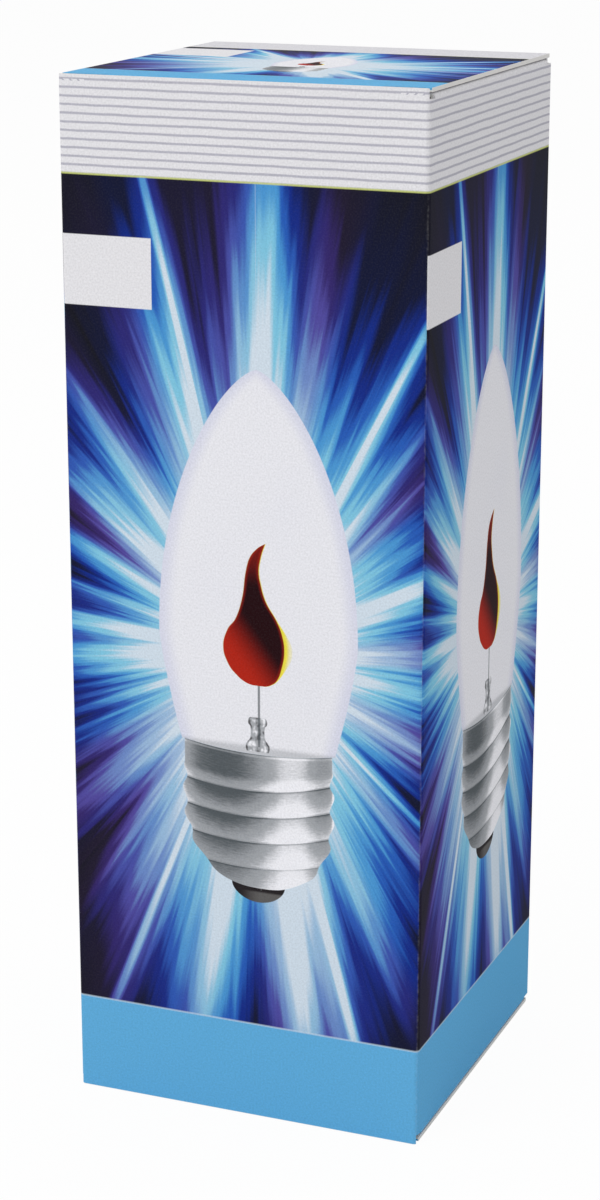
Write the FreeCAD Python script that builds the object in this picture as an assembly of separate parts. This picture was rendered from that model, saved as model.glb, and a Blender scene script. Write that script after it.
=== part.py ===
import FreeCAD, Part
import math
import os

# A folding carton for one candle lamp, closed at both ends by a hinged lid with a tuck tongue,
# and the lamp that it holds. Millimetres, +Z up, the front face towards -Y. The carton stands
# on its bottom lid at z = 0, centred on the Z axis.

os.makedirs("parts", exist_ok=True)

# The lamp as a whole
LAMP_DIAMETER = 35.0
LAMP_LENGTH = 98.0

# The room that the carton leaves round the lamp
SIDE_ROOM = 1.1
HEAD_ROOM = 6.7

# The board and its folds
BOARD = 0.4
CREASE_INNER_RADIUS = 0.1
SEAM_STEP = 0.3
GLUE_FLAP_WIDTH = 10.0
GLUE_FLAP_INSET = 2.0
GLUE_FLAP_BEVEL = 3.0

# The dust flaps, which the side walls carry at both ends
DUST_FLAP_SPACING = 8.0
DUST_LOCK_EDGE = 5.0
DUST_FRONT_TAPER = 1.6
DUST_REAR_INSET = 1.2
DUST_REAR_BEVEL = 4.0
DUST_CORNER_RADIUS = 2.5

# The lids and their tuck tongues
LID_SIDE_GAP = 0.15
TONGUE_LENGTH = 11.0
TONGUE_SIDE_GAP = 0.5
TONGUE_TAPER = 0.8
TONGUE_CORNER_RADIUS = 5.0
SLIT_LENGTH = 4.0

# Running clearances between pieces of board
LID_SEAT_GAP = 0.1
TONGUE_GAP = 0.2
DUST_GAP = 0.3

# How far a straight band of a turned piece may stand off the arc that it follows
BAND_SAG = 0.16
CAVITY_BAND_SAG = 0.6

# The glass envelope: its outline follows arcs that run into each other
GLASS_WALL = 0.8
BELLY_RADIUS = 110.0
BELLY_RISE = 20.0
OGIVE_RADIUS = 60.0
TIP_RADIUS = 3.5
NECK_BLEND_RADIUS = 10.0
SEAL_HEIGHT = 14.0

# The glass stem
STEM_RADIUS = 4.0
STEM_WALL = 1.0
STEM_RIM_THICKNESS = 1.0
STEM_TUBE_LENGTH = 13.0
STEM_PINCH_HEIGHT = 7.0
STEM_PINCH_WIDTH = 5.4
STEM_PINCH_THICKNESS = 3.2
STEM_PINCH_FILLET = 1.0

# The flame plates
PLATE_RISE = 4.5
PLATE_THICKNESS = 0.3
FLAME_BODY_RADIUS = 5.6
FLAME_LEFT_SHOULDER = 160.0
FLAME_RIGHT_SHOULDER = 25.0
FLAME_WAIST_WIDTH = 5.0
FLAME_THROAT_WIDTH = 2.6
FLAME_LEAN = 0.7
FLAME_HEIGHT = 26.0
FLAME_WAIST_SHARE = 0.55
FLAME_THROAT_SHARE = 0.8
FLAME_TIP_OFFSET = 2.0

# The wires and the resistor
WIRE_RADIUS = 0.25
WIRE_WELD = 2.0
WIRE_BEND_RADIUS = 0.8
SHELL_LEAD_DROP = 2.5
RESISTOR_RADIUS = 1.15
RESISTOR_LENGTH = 6.3
RESISTOR_BOTTOM_HEIGHT = 12.0
RESISTOR_END_BEVEL = 0.4
RESISTOR_GAP = 0.2

# The screw cap
CAP_HEIGHT = 27.0
SHELL_THICKNESS = 0.3
SHELL_RADIUS = 13.1
SHELL_BOTTOM_HEIGHT = 4.4
SHELL_BOTTOM_RADIUS = 9.6
SHELL_BOWL_HEIGHT = 4.6
SHELL_RIM_GAP = 0.23
CEMENT_THICKNESS = 1.5
CEMENT_LENGTH = 6.0
INSULATOR_FOOT_RADIUS = 5.8
INSULATOR_RISE = 2.2
CONTACT_RADIUS = 5.2
CONTACT_THICKNESS = 0.6
SOLDER_RADIUS = 2.2
SOLDER_HEIGHT = 0.35

# Sizes of the carton that follow from the ones above
HALF_WIDTH = LAMP_DIAMETER / 2 + SIDE_ROOM + BOARD
HALF_DEPTH = HALF_WIDTH
CREASE_RADIUS = CREASE_INNER_RADIUS + BOARD
END_STACK = 2 * BOARD + LID_SEAT_GAP
CARTON_HEIGHT = LAMP_LENGTH + HEAD_ROOM + 2 * END_STACK
FLAP_TOP = CARTON_HEIGHT - BOARD - LID_SEAT_GAP
WALL_TOP = FLAP_TOP - CREASE_RADIUS
WALL_BOTTOM = CARTON_HEIGHT - WALL_TOP
LID_HALF_WIDTH = HALF_WIDTH - LID_SIDE_GAP
HINGE_HALF_WIDTH = HALF_WIDTH - CREASE_RADIUS

# The lid turns about the outer face of the rear crease, where the two halves of the fold meet
REAR_CREASE_CENTRE = (HALF_DEPTH - CREASE_RADIUS, CARTON_HEIGHT - CREASE_RADIUS)
HINGE_ANGLE = 45.0
HINGE_Y = REAR_CREASE_CENTRE[0] + CREASE_RADIUS * math.cos(math.radians(HINGE_ANGLE))
HINGE_Z = REAR_CREASE_CENTRE[1] + CREASE_RADIUS * math.sin(math.radians(HINGE_ANGLE))
TONGUE_OUTER = HINGE_Y + HALF_DEPTH - BOARD - TONGUE_GAP
TONGUE_INNER = TONGUE_OUTER - BOARD
TONGUE_HALF_WIDTH = HALF_WIDTH - BOARD - TONGUE_SIDE_GAP

# Levels and sizes of the lamp that follow from the ones above. It stands on the lower dust flaps.
LAMP_BASE = END_STACK
SEAL_LEVEL = LAMP_BASE + SEAL_HEIGHT
SHOULDER_LEVEL = SEAL_LEVEL + STEM_TUBE_LENGTH
PLATE_LEVEL = SHOULDER_LEVEL + STEM_PINCH_HEIGHT + PLATE_RISE
RESISTOR_LEVEL = LAMP_BASE + RESISTOR_BOTTOM_HEIGHT
INSULATOR_LEVEL = LAMP_BASE + SHELL_BOTTOM_HEIGHT + INSULATOR_RISE
RIM_LEVEL = LAMP_BASE + CAP_HEIGHT
SHELL_BORE = SHELL_RADIUS - SHELL_THICKNESS
NECK_RADIUS = SHELL_BORE - CEMENT_THICKNESS

# Each lead stands this far from the middle, so that the resistor on one clears the other
LEAD_DEPTH = (RESISTOR_RADIUS + RESISTOR_GAP + WIRE_RADIUS) / 2

# The straight length of the neck ends where the blend above it just clears the shell's rim
BLEND_REACH = NECK_BLEND_RADIUS + SHELL_RIM_GAP - CEMENT_THICKNESS
NECK_LEVEL = RIM_LEVEL - math.sqrt(NECK_BLEND_RADIUS ** 2 - BLEND_REACH ** 2)


def in_plan(u, v):
    """A point of an outline that lies flat, as seen from above."""
    return FreeCAD.Vector(u, v, 0)


def in_side_view(u, v):
    """A point of an outline in the YZ plane."""
    return FreeCAD.Vector(0, u, v)


def in_front_view(u, v):
    """A point of an outline in the XZ plane."""
    return FreeCAD.Vector(u, 0, v)


def on_circle(centre, radius, degrees):
    """The point of a circle at an angle from its first axis."""
    angle = math.radians(degrees)
    return (centre[0] + radius * math.cos(angle), centre[1] + radius * math.sin(angle))


class Outline:
    """A closed outline on one plane, drawn run by run from a starting point."""

    def __init__(self, plane, start):
        self.plane = plane
        self.start = start
        self.last = start
        self.edges = []

    def line(self, point):
        """A straight run to a point."""
        if math.dist(self.last, point) > 1e-7:
            self.edges.append(Part.LineSegment(self.plane(*self.last), self.plane(*point)).toShape())
            self.last = point
        return self

    def arc(self, centre, radius, start_angle, end_angle):
        """A straight run to the start of an arc, and the arc."""
        self.line(on_circle(centre, radius, start_angle))
        middle = on_circle(centre, radius, (start_angle + end_angle) / 2)
        end = on_circle(centre, radius, end_angle)
        self.edges.append(Part.Arc(self.plane(*self.last), self.plane(*middle), self.plane(*end)).toShape())
        self.last = end
        return self

    def bands(self, centre, radius, start_angle, end_angle, sag=BAND_SAG):
        """Straight runs along an arc, as many as keep within the sag that is allowed."""
        widest = 2 * math.degrees(math.acos(1 - sag / radius))
        count = math.ceil(abs(end_angle - start_angle) / widest)
        for i in range(count + 1):
            self.line(on_circle(centre, radius, start_angle + (end_angle - start_angle) * i / count))
        return self

    def curve(self, points):
        """A smooth curve through the last point and these points."""
        spline = Part.BSplineCurve()
        spline.interpolate([self.plane(*point) for point in [self.last] + points])
        self.edges.append(spline.toShape())
        self.last = points[-1]
        return self

    def face(self):
        """The area inside the closed outline."""
        self.line(self.start)
        return Part.Face(Part.Wire(self.edges))


def corner_arc(previous, corner, following, radius):
    """Centre and the two angles of an arc that rounds a corner, where the outline turns left."""
    heading_in = math.atan2(corner[1] - previous[1], corner[0] - previous[0])
    heading_out = math.atan2(following[1] - corner[1], following[0] - corner[0])
    turn = (heading_out - heading_in) % (2 * math.pi)
    tangent = radius * math.tan(turn / 2)
    start = (corner[0] - tangent * math.cos(heading_in), corner[1] - tangent * math.sin(heading_in))
    centre = (start[0] - radius * math.sin(heading_in), start[1] + radius * math.cos(heading_in))
    start_angle = math.degrees(heading_in) - 90
    return centre, start_angle, start_angle + math.degrees(turn)


def folded_board(plane, path):
    """Section of a strip of board: its outer face follows the path, which turns left at each crease."""
    creases = [corner_arc(*path[i - 1:i + 2], CREASE_RADIUS) for i in range(1, len(path) - 1)]
    outline = Outline(plane, path[0])
    for centre, start_angle, end_angle in creases:
        outline.arc(centre, CREASE_RADIUS, start_angle, end_angle)
    outline.line(path[-1])
    outline.line(beside(path[-2], path[-1], path[-1]))
    for centre, start_angle, end_angle in reversed(creases):
        outline.arc(centre, CREASE_INNER_RADIUS, end_angle, start_angle)
    outline.line(beside(path[0], path[1], path[0]))
    return outline.face()


def beside(first, second, point):
    """The point one board to the left of a point on the run from first to second."""
    length = math.dist(first, second)
    return (
        point[0] - BOARD * (second[1] - first[1]) / length,
        point[1] + BOARD * (second[0] - first[0]) / length,
    )


def prism(face, low, high, axis):
    """A face through the origin's plane, pushed out between two levels along an axis."""
    direction = FreeCAD.Vector(*axis)
    body = face.extrude(direction * (high - low))
    body.translate(direction * low)
    return body


def revolved(outline):
    """A turned piece: the outline in the XZ plane, swung round the Z axis."""
    return outline.face().revolve(FreeCAD.Vector(0, 0, 0), FreeCAD.Vector(0, 0, 1), 360)


def joined(pieces):
    """One clean solid from pieces that touch."""
    return pieces[0].multiFuse(pieces[1:]).removeSplitter()


def flipped(shape):
    """The same piece at the other end of the carton."""
    middle = FreeCAD.Vector(0, 0, CARTON_HEIGHT / 2)
    return shape.mirror(middle, FreeCAD.Vector(0, 0, 1))


def save(name, shape):
    """Write one piece, refused if it isn't one sound solid."""
    solids = shape.Solids
    if len(solids) != 1 or not solids[0].isValid():
        raise ValueError(name + " is not one sound solid")
    solids[0].exportStep("parts/" + name + ".step")


# The carton's sleeve


def wall_section():
    """Plan of the four walls, one strip of board with its seam at the rear left corner."""
    seam_x = -HALF_WIDTH + BOARD
    return folded_board(in_plan, [
        (-HALF_WIDTH, HALF_DEPTH - SEAM_STEP),
        (-HALF_WIDTH, -HALF_DEPTH),
        (HALF_WIDTH, -HALF_DEPTH),
        (HALF_WIDTH, HALF_DEPTH),
        (seam_x + CREASE_RADIUS, HALF_DEPTH),
    ])


def glue_flap():
    """The rear wall's glue flap, folded forward inside the left wall and glued to it."""
    seam_x = -HALF_WIDTH + BOARD
    section = folded_board(in_plan, [
        (seam_x + CREASE_RADIUS, HALF_DEPTH),
        (seam_x, HALF_DEPTH),
        (seam_x, HALF_DEPTH - GLUE_FLAP_WIDTH),
    ])
    low = WALL_BOTTOM + GLUE_FLAP_INSET
    high = WALL_TOP - GLUE_FLAP_INSET
    free_edge = HALF_DEPTH - GLUE_FLAP_WIDTH
    outline = Outline(in_side_view, (HALF_DEPTH, low))
    outline.line((HALF_DEPTH, high))
    outline.line((free_edge, high - GLUE_FLAP_BEVEL))
    outline.line((free_edge, low + GLUE_FLAP_BEVEL))
    trim = prism(outline.face(), -HALF_WIDTH, 0, (1, 0, 0))
    return prism(section, low, high, (0, 0, 1)).common(trim)


def front_wall():
    """The front wall and half of both corner folds, up to its raw edges at the lids."""
    reach = 2 * CREASE_RADIUS
    outline = Outline(in_plan, (-HALF_WIDTH, -HALF_DEPTH))
    outline.line((HALF_WIDTH, -HALF_DEPTH))
    outline.line((HALF_WIDTH - reach, -HALF_DEPTH + reach))
    outline.line((-HALF_WIDTH + reach, -HALF_DEPTH + reach))
    trim = prism(outline.face(), 0, CARTON_HEIGHT, (0, 0, 1))
    return prism(wall_section(), 0, CARTON_HEIGHT, (0, 0, 1)).common(trim)


def hinge_strip():
    """The rear wall's half of the lid's crease, cut off at the hinge line."""
    outline = Outline(in_side_view, (HALF_DEPTH, WALL_TOP))
    outline.arc(REAR_CREASE_CENTRE, CREASE_RADIUS, 0, HINGE_ANGLE)
    outline.arc(REAR_CREASE_CENTRE, CREASE_INNER_RADIUS, HINGE_ANGLE, 0)
    outline.line((HALF_DEPTH - BOARD, WALL_TOP))
    return prism(outline.face(), -HINGE_HALF_WIDTH, HINGE_HALF_WIDTH, (1, 0, 0))


def dust_flap_outline():
    """Plan of the right dust flap: a square lock edge in front, a bevel behind, round corners."""
    root_x = HALF_WIDTH
    end_x = DUST_FLAP_SPACING / 2
    front_y = HINGE_Y - TONGUE_INNER + DUST_GAP
    rear_y = HALF_DEPTH - BOARD - DUST_REAR_INSET
    bevel_y = rear_y - DUST_REAR_BEVEL
    lock_x = root_x - DUST_LOCK_EDGE
    bevel_x = root_x - CREASE_RADIUS - DUST_REAR_BEVEL
    front_corner = (end_x, front_y + DUST_FRONT_TAPER)
    rear_corner = (end_x, bevel_y)
    front_centre, front_start, front_end = corner_arc(
        rear_corner, front_corner, (lock_x, front_y), DUST_CORNER_RADIUS)
    rear_centre, rear_start, rear_end = corner_arc(
        (bevel_x, bevel_y), rear_corner, front_corner, DUST_CORNER_RADIUS)
    outline = Outline(in_plan, (root_x, front_y))
    outline.line((root_x, rear_y))
    outline.line((root_x - CREASE_RADIUS, rear_y))
    outline.line((bevel_x, bevel_y))
    outline.arc(rear_centre, DUST_CORNER_RADIUS, rear_start, rear_end)
    outline.arc(front_centre, DUST_CORNER_RADIUS, front_start, front_end)
    outline.line((lock_x, front_y))
    return outline.face()


def dust_flap():
    """The right dust flap at the top, folded in over its crease."""
    section = folded_board(in_front_view, [
        (HALF_WIDTH, WALL_TOP - CREASE_RADIUS),
        (HALF_WIDTH, FLAP_TOP),
        (DUST_FLAP_SPACING / 2, FLAP_TOP),
    ])
    trim = prism(dust_flap_outline(), 0, CARTON_HEIGHT, (0, 0, 1))
    return prism(section, -HALF_DEPTH, HALF_DEPTH, (0, 1, 0)).common(trim)


def carton_sleeve():
    """The folded and glued sleeve: walls, glue flap and four dust flaps, all one piece of board."""
    walls = prism(wall_section(), WALL_BOTTOM, WALL_TOP, (0, 0, 1))
    right_flap = dust_flap()
    left_flap = right_flap.mirror(FreeCAD.Vector(0, 0, 0), FreeCAD.Vector(1, 0, 0))
    top_end = [right_flap, left_flap, hinge_strip()]
    bottom_end = [flipped(piece) for piece in top_end]
    return joined([walls, front_wall(), glue_flap()] + top_end + bottom_end)


# The lids


def front_crease():
    """Centre of the lid's front crease, which runs into the panel and the tongue, and its end angle."""
    drop = HINGE_Z - (CARTON_HEIGHT - CREASE_RADIUS)
    reach = math.sqrt((TONGUE_OUTER - CREASE_RADIUS) ** 2 - drop ** 2)
    return (HINGE_Y - reach, CARTON_HEIGHT - CREASE_RADIUS), 180 + math.degrees(math.atan2(drop, reach))


def lid_panel():
    """The flat lid with its half of the rear crease, and the square corners beyond the slits."""
    centre, end_angle = front_crease()
    outline = Outline(in_side_view, (HINGE_Y, HINGE_Z))
    outline.arc(REAR_CREASE_CENTRE, CREASE_RADIUS, HINGE_ANGLE, 90)
    outline.arc(REAR_CREASE_CENTRE, CREASE_INNER_RADIUS, 90, HINGE_ANGLE)
    rear_crease = prism(outline.face(), -HINGE_HALF_WIDTH, HINGE_HALF_WIDTH, (1, 0, 0))
    panel = Part.makeBox(
        2 * LID_HALF_WIDTH, REAR_CREASE_CENTRE[0] - centre[0], BOARD,
        FreeCAD.Vector(-LID_HALF_WIDTH, centre[0], CARTON_HEIGHT - BOARD))
    slit_end = TONGUE_HALF_WIDTH - SLIT_LENGTH
    half_crease = math.radians(end_angle - 90) / 2 * (CREASE_RADIUS - BOARD / 2)
    corner = Part.makeBox(
        LID_HALF_WIDTH - slit_end, half_crease, BOARD,
        FreeCAD.Vector(slit_end, centre[0] - half_crease, CARTON_HEIGHT - BOARD))
    other_corner = corner.mirror(FreeCAD.Vector(0, 0, 0), FreeCAD.Vector(1, 0, 0))
    return [rear_crease, panel, corner, other_corner]


def lid_crease():
    """The fold between the lid and its tongue, between the two slits."""
    centre, end_angle = front_crease()
    outline = Outline(in_side_view, on_circle(centre, CREASE_RADIUS, 90))
    outline.arc(centre, CREASE_RADIUS, 90, end_angle)
    outline.arc(centre, CREASE_INNER_RADIUS, end_angle, 90)
    slit_end = TONGUE_HALF_WIDTH - SLIT_LENGTH
    return prism(outline.face(), -slit_end, slit_end, (1, 0, 0))


def tongue_outline():
    """Front view of the tongue: tapered sides and round corners at its free end."""
    top = CARTON_HEIGHT
    low = top - CREASE_RADIUS - TONGUE_LENGTH
    right_corner = (TONGUE_HALF_WIDTH - TONGUE_TAPER, low)
    left_corner = (-right_corner[0], low)
    right_top = (TONGUE_HALF_WIDTH, top)
    left_top = (-TONGUE_HALF_WIDTH, top)
    outline = Outline(in_front_view, left_top)
    for previous, corner, following in (
        (left_top, left_corner, right_corner),
        (left_corner, right_corner, right_top),
    ):
        centre, start_angle, end_angle = corner_arc(previous, corner, following, TONGUE_CORNER_RADIUS)
        outline.arc(centre, TONGUE_CORNER_RADIUS, start_angle, end_angle)
    outline.line(right_top)
    return outline.face()


def tuck_tongue():
    """The tongue, bowed round the hinge line so that it clears the front wall as the lid swings."""
    hinge = (HINGE_Y, HINGE_Z)
    centre, start_angle = front_crease()
    spare_end = 2 * TONGUE_LENGTH
    end_angle = start_angle + math.degrees(spare_end / TONGUE_OUTER)
    outline = Outline(in_side_view, on_circle(hinge, TONGUE_OUTER, start_angle))
    outline.arc(hinge, TONGUE_OUTER, start_angle, end_angle)
    outline.arc(hinge, TONGUE_INNER, end_angle, start_angle)
    body = prism(outline.face(), -TONGUE_HALF_WIDTH, TONGUE_HALF_WIDTH, (1, 0, 0))
    trim = prism(tongue_outline(), -HALF_DEPTH, HALF_DEPTH, (0, 1, 0))
    return body.common(trim)


def lid():
    """The top lid: panel, crease and tongue in one piece of board."""
    return joined(lid_panel() + [lid_crease(), tuck_tongue()])


# The lamp's glass


def envelope_arcs():
    """The arcs of the envelope's outer face from the neck up, each as centre, radius and angles."""
    widest = LAMP_DIAMETER / 2
    belly_angle = math.degrees(math.asin(BELLY_RISE / BELLY_RADIUS))
    ogive_from_belly = on_circle((widest - BELLY_RADIUS, 0), BELLY_RADIUS - OGIVE_RADIUS, belly_angle)
    tip_angle = math.degrees(math.acos(-ogive_from_belly[0] / (OGIVE_RADIUS - TIP_RADIUS)))
    tip_from_belly = on_circle(ogive_from_belly, OGIVE_RADIUS - TIP_RADIUS, tip_angle)
    widest_height = LAMP_BASE + LAMP_LENGTH - TIP_RADIUS - tip_from_belly[1]
    belly = (widest - BELLY_RADIUS, widest_height)
    ogive = (ogive_from_belly[0], widest_height + ogive_from_belly[1])
    tip = (0, LAMP_BASE + LAMP_LENGTH - TIP_RADIUS)
    neck_blend = (NECK_RADIUS + NECK_BLEND_RADIUS, NECK_LEVEL)
    down = widest_height - NECK_LEVEL
    out = neck_blend[0] - widest
    lower_radius = (out ** 2 + down ** 2 - NECK_BLEND_RADIUS ** 2) / (2 * (NECK_BLEND_RADIUS - out))
    lower_belly = (widest - lower_radius, widest_height)
    blend_angle = math.degrees(math.atan2(down, out + lower_radius))
    return [
        (neck_blend, -NECK_BLEND_RADIUS, 180, 180 - blend_angle),
        (lower_belly, lower_radius, -blend_angle, 0),
        (belly, BELLY_RADIUS, 0, belly_angle),
        (ogive, OGIVE_RADIUS, belly_angle, tip_angle),
        (tip, TIP_RADIUS, tip_angle, 90),
    ]


def envelope_face(inset):
    """The outline of the envelope's outer face, moved inwards, as runs of an outline in order."""
    return [(centre, abs(radius - inset), start, end) for centre, radius, start, end in envelope_arcs()]


def glass_envelope():
    """The blown candle envelope, open at the neck's foot, where the stem is sealed in."""
    outline = Outline(in_front_view, (NECK_RADIUS, SEAL_LEVEL))
    for run in envelope_face(0):
        outline.bands(*run)
    for centre, radius, start, end in reversed(envelope_face(GLASS_WALL)):
        outline.bands(centre, radius, end, start, CAVITY_BAND_SAG)
    outline.line((NECK_RADIUS - GLASS_WALL, SEAL_LEVEL))
    return revolved(outline)


def glass_stem():
    """The stem: a tube whose rim is sealed to the neck, and the pinch that holds the leads."""
    foot = SEAL_LEVEL - STEM_RIM_THICKNESS
    bore = STEM_RADIUS - STEM_WALL
    outline = Outline(in_front_view, (bore, foot))
    outline.line((NECK_RADIUS, foot))
    outline.line((NECK_RADIUS, SEAL_LEVEL))
    outline.line((STEM_RADIUS, SEAL_LEVEL))
    outline.line((STEM_RADIUS, SHOULDER_LEVEL))
    outline.line((0, SHOULDER_LEVEL))
    outline.line((0, SHOULDER_LEVEL - STEM_WALL))
    outline.line((bore, SHOULDER_LEVEL - STEM_WALL))
    pinch = Part.makeBox(
        STEM_PINCH_WIDTH, STEM_PINCH_THICKNESS, STEM_PINCH_HEIGHT,
        FreeCAD.Vector(-STEM_PINCH_WIDTH / 2, -STEM_PINCH_THICKNESS / 2, SHOULDER_LEVEL))
    upright = [edge for edge in pinch.Edges if edge.BoundBox.ZLength > STEM_PINCH_HEIGHT / 2]
    pinch = pinch.makeFillet(STEM_PINCH_FILLET, upright)
    return joined([revolved(outline), pinch])


# The flame plates and the wires


def flame_plate(depth):
    """One flame-shaped plate: a round body, a waist that leans left and a tip that turns right."""
    waist = PLATE_LEVEL + FLAME_WAIST_SHARE * FLAME_HEIGHT
    throat = PLATE_LEVEL + FLAME_THROAT_SHARE * FLAME_HEIGHT
    tip = (FLAME_TIP_OFFSET, PLATE_LEVEL + FLAME_HEIGHT)
    centre = (0, PLATE_LEVEL + FLAME_BODY_RADIUS)
    outline = Outline(in_front_view, on_circle(centre, FLAME_BODY_RADIUS, FLAME_LEFT_SHOULDER))
    outline.arc(centre, FLAME_BODY_RADIUS, FLAME_LEFT_SHOULDER, 360 + FLAME_RIGHT_SHOULDER)
    outline.curve([
        (FLAME_WAIST_WIDTH / 2 - FLAME_LEAN, waist),
        (FLAME_THROAT_WIDTH / 2 - FLAME_LEAN, throat),
        tip,
    ])
    outline.curve([
        (-FLAME_THROAT_WIDTH / 2 - FLAME_LEAN, throat),
        (-FLAME_WAIST_WIDTH / 2 - FLAME_LEAN, waist),
        outline.start,
    ])
    return prism(outline.face(), depth, depth + PLATE_THICKNESS, (0, 1, 0))


def shell_lead():
    """The lead from the front plate through the pinch and out to the screw shell."""
    high = PLATE_LEVEL + WIRE_WELD
    low = SEAL_LEVEL - STEM_RIM_THICKNESS - SHELL_LEAD_DROP
    bend = (-WIRE_BEND_RADIUS, low + WIRE_BEND_RADIUS)
    bend_middle = on_circle(bend, WIRE_BEND_RADIUS, -45)
    path = Part.Wire([
        Part.LineSegment(in_front_view(0, high), in_front_view(0, bend[1])).toShape(),
        Part.Arc(in_front_view(0, bend[1]), in_front_view(*bend_middle), in_front_view(bend[0], low)).toShape(),
        Part.LineSegment(in_front_view(bend[0], low), in_front_view(-SHELL_RADIUS, low)).toShape(),
    ])
    ring = Part.Wire(Part.makeCircle(WIRE_RADIUS, in_front_view(0, high), in_front_view(0, 1)))
    wire = path.makePipeShell([ring], True, False)
    wire.translate(FreeCAD.Vector(0, -LEAD_DEPTH, 0))
    room = Part.makeCylinder(SHELL_BORE, high, FreeCAD.Vector(0, 0, LAMP_BASE))
    return wire.common(room)


def rear_wire(low, high):
    """A straight length of the wire behind the middle, or the bore that it fills."""
    return Part.makeCylinder(WIRE_RADIUS, high - low, FreeCAD.Vector(0, LEAD_DEPTH, low))


def resistor_lead():
    """The straight lead from the rear plate through the pinch to the resistor."""
    return rear_wire(RESISTOR_LEVEL + RESISTOR_LENGTH, PLATE_LEVEL + WIRE_WELD)


def resistor():
    """The resistor's round body with bevelled ends, hung on the rear lead."""
    body = Part.makeCylinder(
        RESISTOR_RADIUS, RESISTOR_LENGTH, FreeCAD.Vector(0, LEAD_DEPTH, RESISTOR_LEVEL))
    return body.makeChamfer(RESISTOR_END_BEVEL, [edge for edge in body.Edges if edge.Closed])


def contact_lead():
    """The straight lead from the resistor down to the centre contact."""
    return rear_wire(LAMP_BASE, RESISTOR_LEVEL)


# The screw cap


def shell_outline_points(inset):
    """The shell's outer face from its bottom edge up, moved inwards by the sheet where asked."""
    return [
        (SHELL_BOTTOM_RADIUS - inset, LAMP_BASE + SHELL_BOTTOM_HEIGHT + inset),
        (SHELL_RADIUS - inset, LAMP_BASE + SHELL_BOTTOM_HEIGHT + SHELL_BOWL_HEIGHT),
        (SHELL_RADIUS - inset, RIM_LEVEL),
    ]


def cap_shell():
    """The pressed metal shell: a wall up to the crest of its thread, drawn in below."""
    outline = Outline(in_front_view, shell_outline_points(0)[0])
    for point in shell_outline_points(0)[1:] + shell_outline_points(SHELL_THICKNESS)[::-1]:
        outline.line(point)
    return revolved(outline)


def shell_filled(low, high):
    """The space inside the shell between two levels."""
    points = shell_outline_points(SHELL_THICKNESS)
    outline = Outline(in_front_view, (0, points[0][1]))
    for point in points + [(0, points[-1][1])]:
        outline.line(point)
    band = Part.makeCylinder(2 * SHELL_RADIUS, high - low, FreeCAD.Vector(0, 0, low))
    return revolved(outline).common(band)


def cap_cement():
    """The ring of cement between the shell's wall and the straight length of the neck."""
    bore = Part.makeCylinder(NECK_RADIUS, CAP_HEIGHT, FreeCAD.Vector(0, 0, LAMP_BASE))
    return shell_filled(NECK_LEVEL - CEMENT_LENGTH, NECK_LEVEL).cut(bore)


def cap_insulator():
    """The dark glass plug in the shell's foot, a cone below the shell and a disc inside it."""
    seat = LAMP_BASE + CONTACT_THICKNESS
    inner_edge = shell_outline_points(SHELL_THICKNESS)[0]
    outline = Outline(in_front_view, (0, seat))
    outline.line((INSULATOR_FOOT_RADIUS, seat))
    outline.line(shell_outline_points(0)[0])
    outline.line(inner_edge)
    outline.line((0, inner_edge[1]))
    cone = revolved(outline)
    disc = shell_filled(inner_edge[1], INSULATOR_LEVEL)
    return joined([cone, disc]).cut(rear_wire(LAMP_BASE, INSULATOR_LEVEL))


def centre_contact():
    """The brass contact disc under the insulator, flat below, so that the lamp stands on its rim."""
    disc = Part.makeCylinder(CONTACT_RADIUS, CONTACT_THICKNESS, FreeCAD.Vector(0, 0, LAMP_BASE))
    return disc.cut(rear_wire(LAMP_BASE, LAMP_BASE + CONTACT_THICKNESS))


def contact_solder():
    """The low dome of solder under the contact."""
    sphere_radius = (SOLDER_RADIUS ** 2 + SOLDER_HEIGHT ** 2) / (2 * SOLDER_HEIGHT)
    edge_angle = math.degrees(math.asin(SOLDER_RADIUS / sphere_radius))
    outline = Outline(in_front_view, (0, LAMP_BASE))
    outline.bands((0, LAMP_BASE - SOLDER_HEIGHT + sphere_radius), sphere_radius, 270, 270 + edge_angle)
    return revolved(outline)


# Every piece, built and written


def main():
    """Build the carton and the lamp inside it."""
    top_lid = lid()
    save("carton_sleeve", carton_sleeve())
    save("top_lid", top_lid)
    save("bottom_lid", flipped(top_lid))
    front_lead = shell_lead()
    rear_lead = resistor_lead()
    save("glass_envelope", glass_envelope())
    save("glass_stem", glass_stem().cut(front_lead).cut(rear_lead))
    plate_face = LEAD_DEPTH + WIRE_RADIUS
    save("front_flame_plate", flame_plate(-plate_face - PLATE_THICKNESS))
    save("rear_flame_plate", flame_plate(plate_face))
    save("shell_lead", front_lead)
    save("resistor_lead", rear_lead)
    save("resistor", resistor())
    save("contact_lead", contact_lead())
    save("cap_shell", cap_shell())
    save("cap_cement", cap_cement())
    save("cap_insulator", cap_insulator())
    save("centre_contact", centre_contact())
    save("contact_solder", contact_solder())


main()
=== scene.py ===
"""The looks of a printed folding carton that holds a clear candle lamp.

The carton's board keeps its folded form and gets its print, raw edges and uncoated inside. The lamp
in it gets smooth blown glass, a rolled thread and metal, cement and black glass finishes.
"""

import logging
import math
from dataclasses import dataclass, replace
from enum import Enum
from functools import cached_property
from typing import Callable, Sequence, Union

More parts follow.
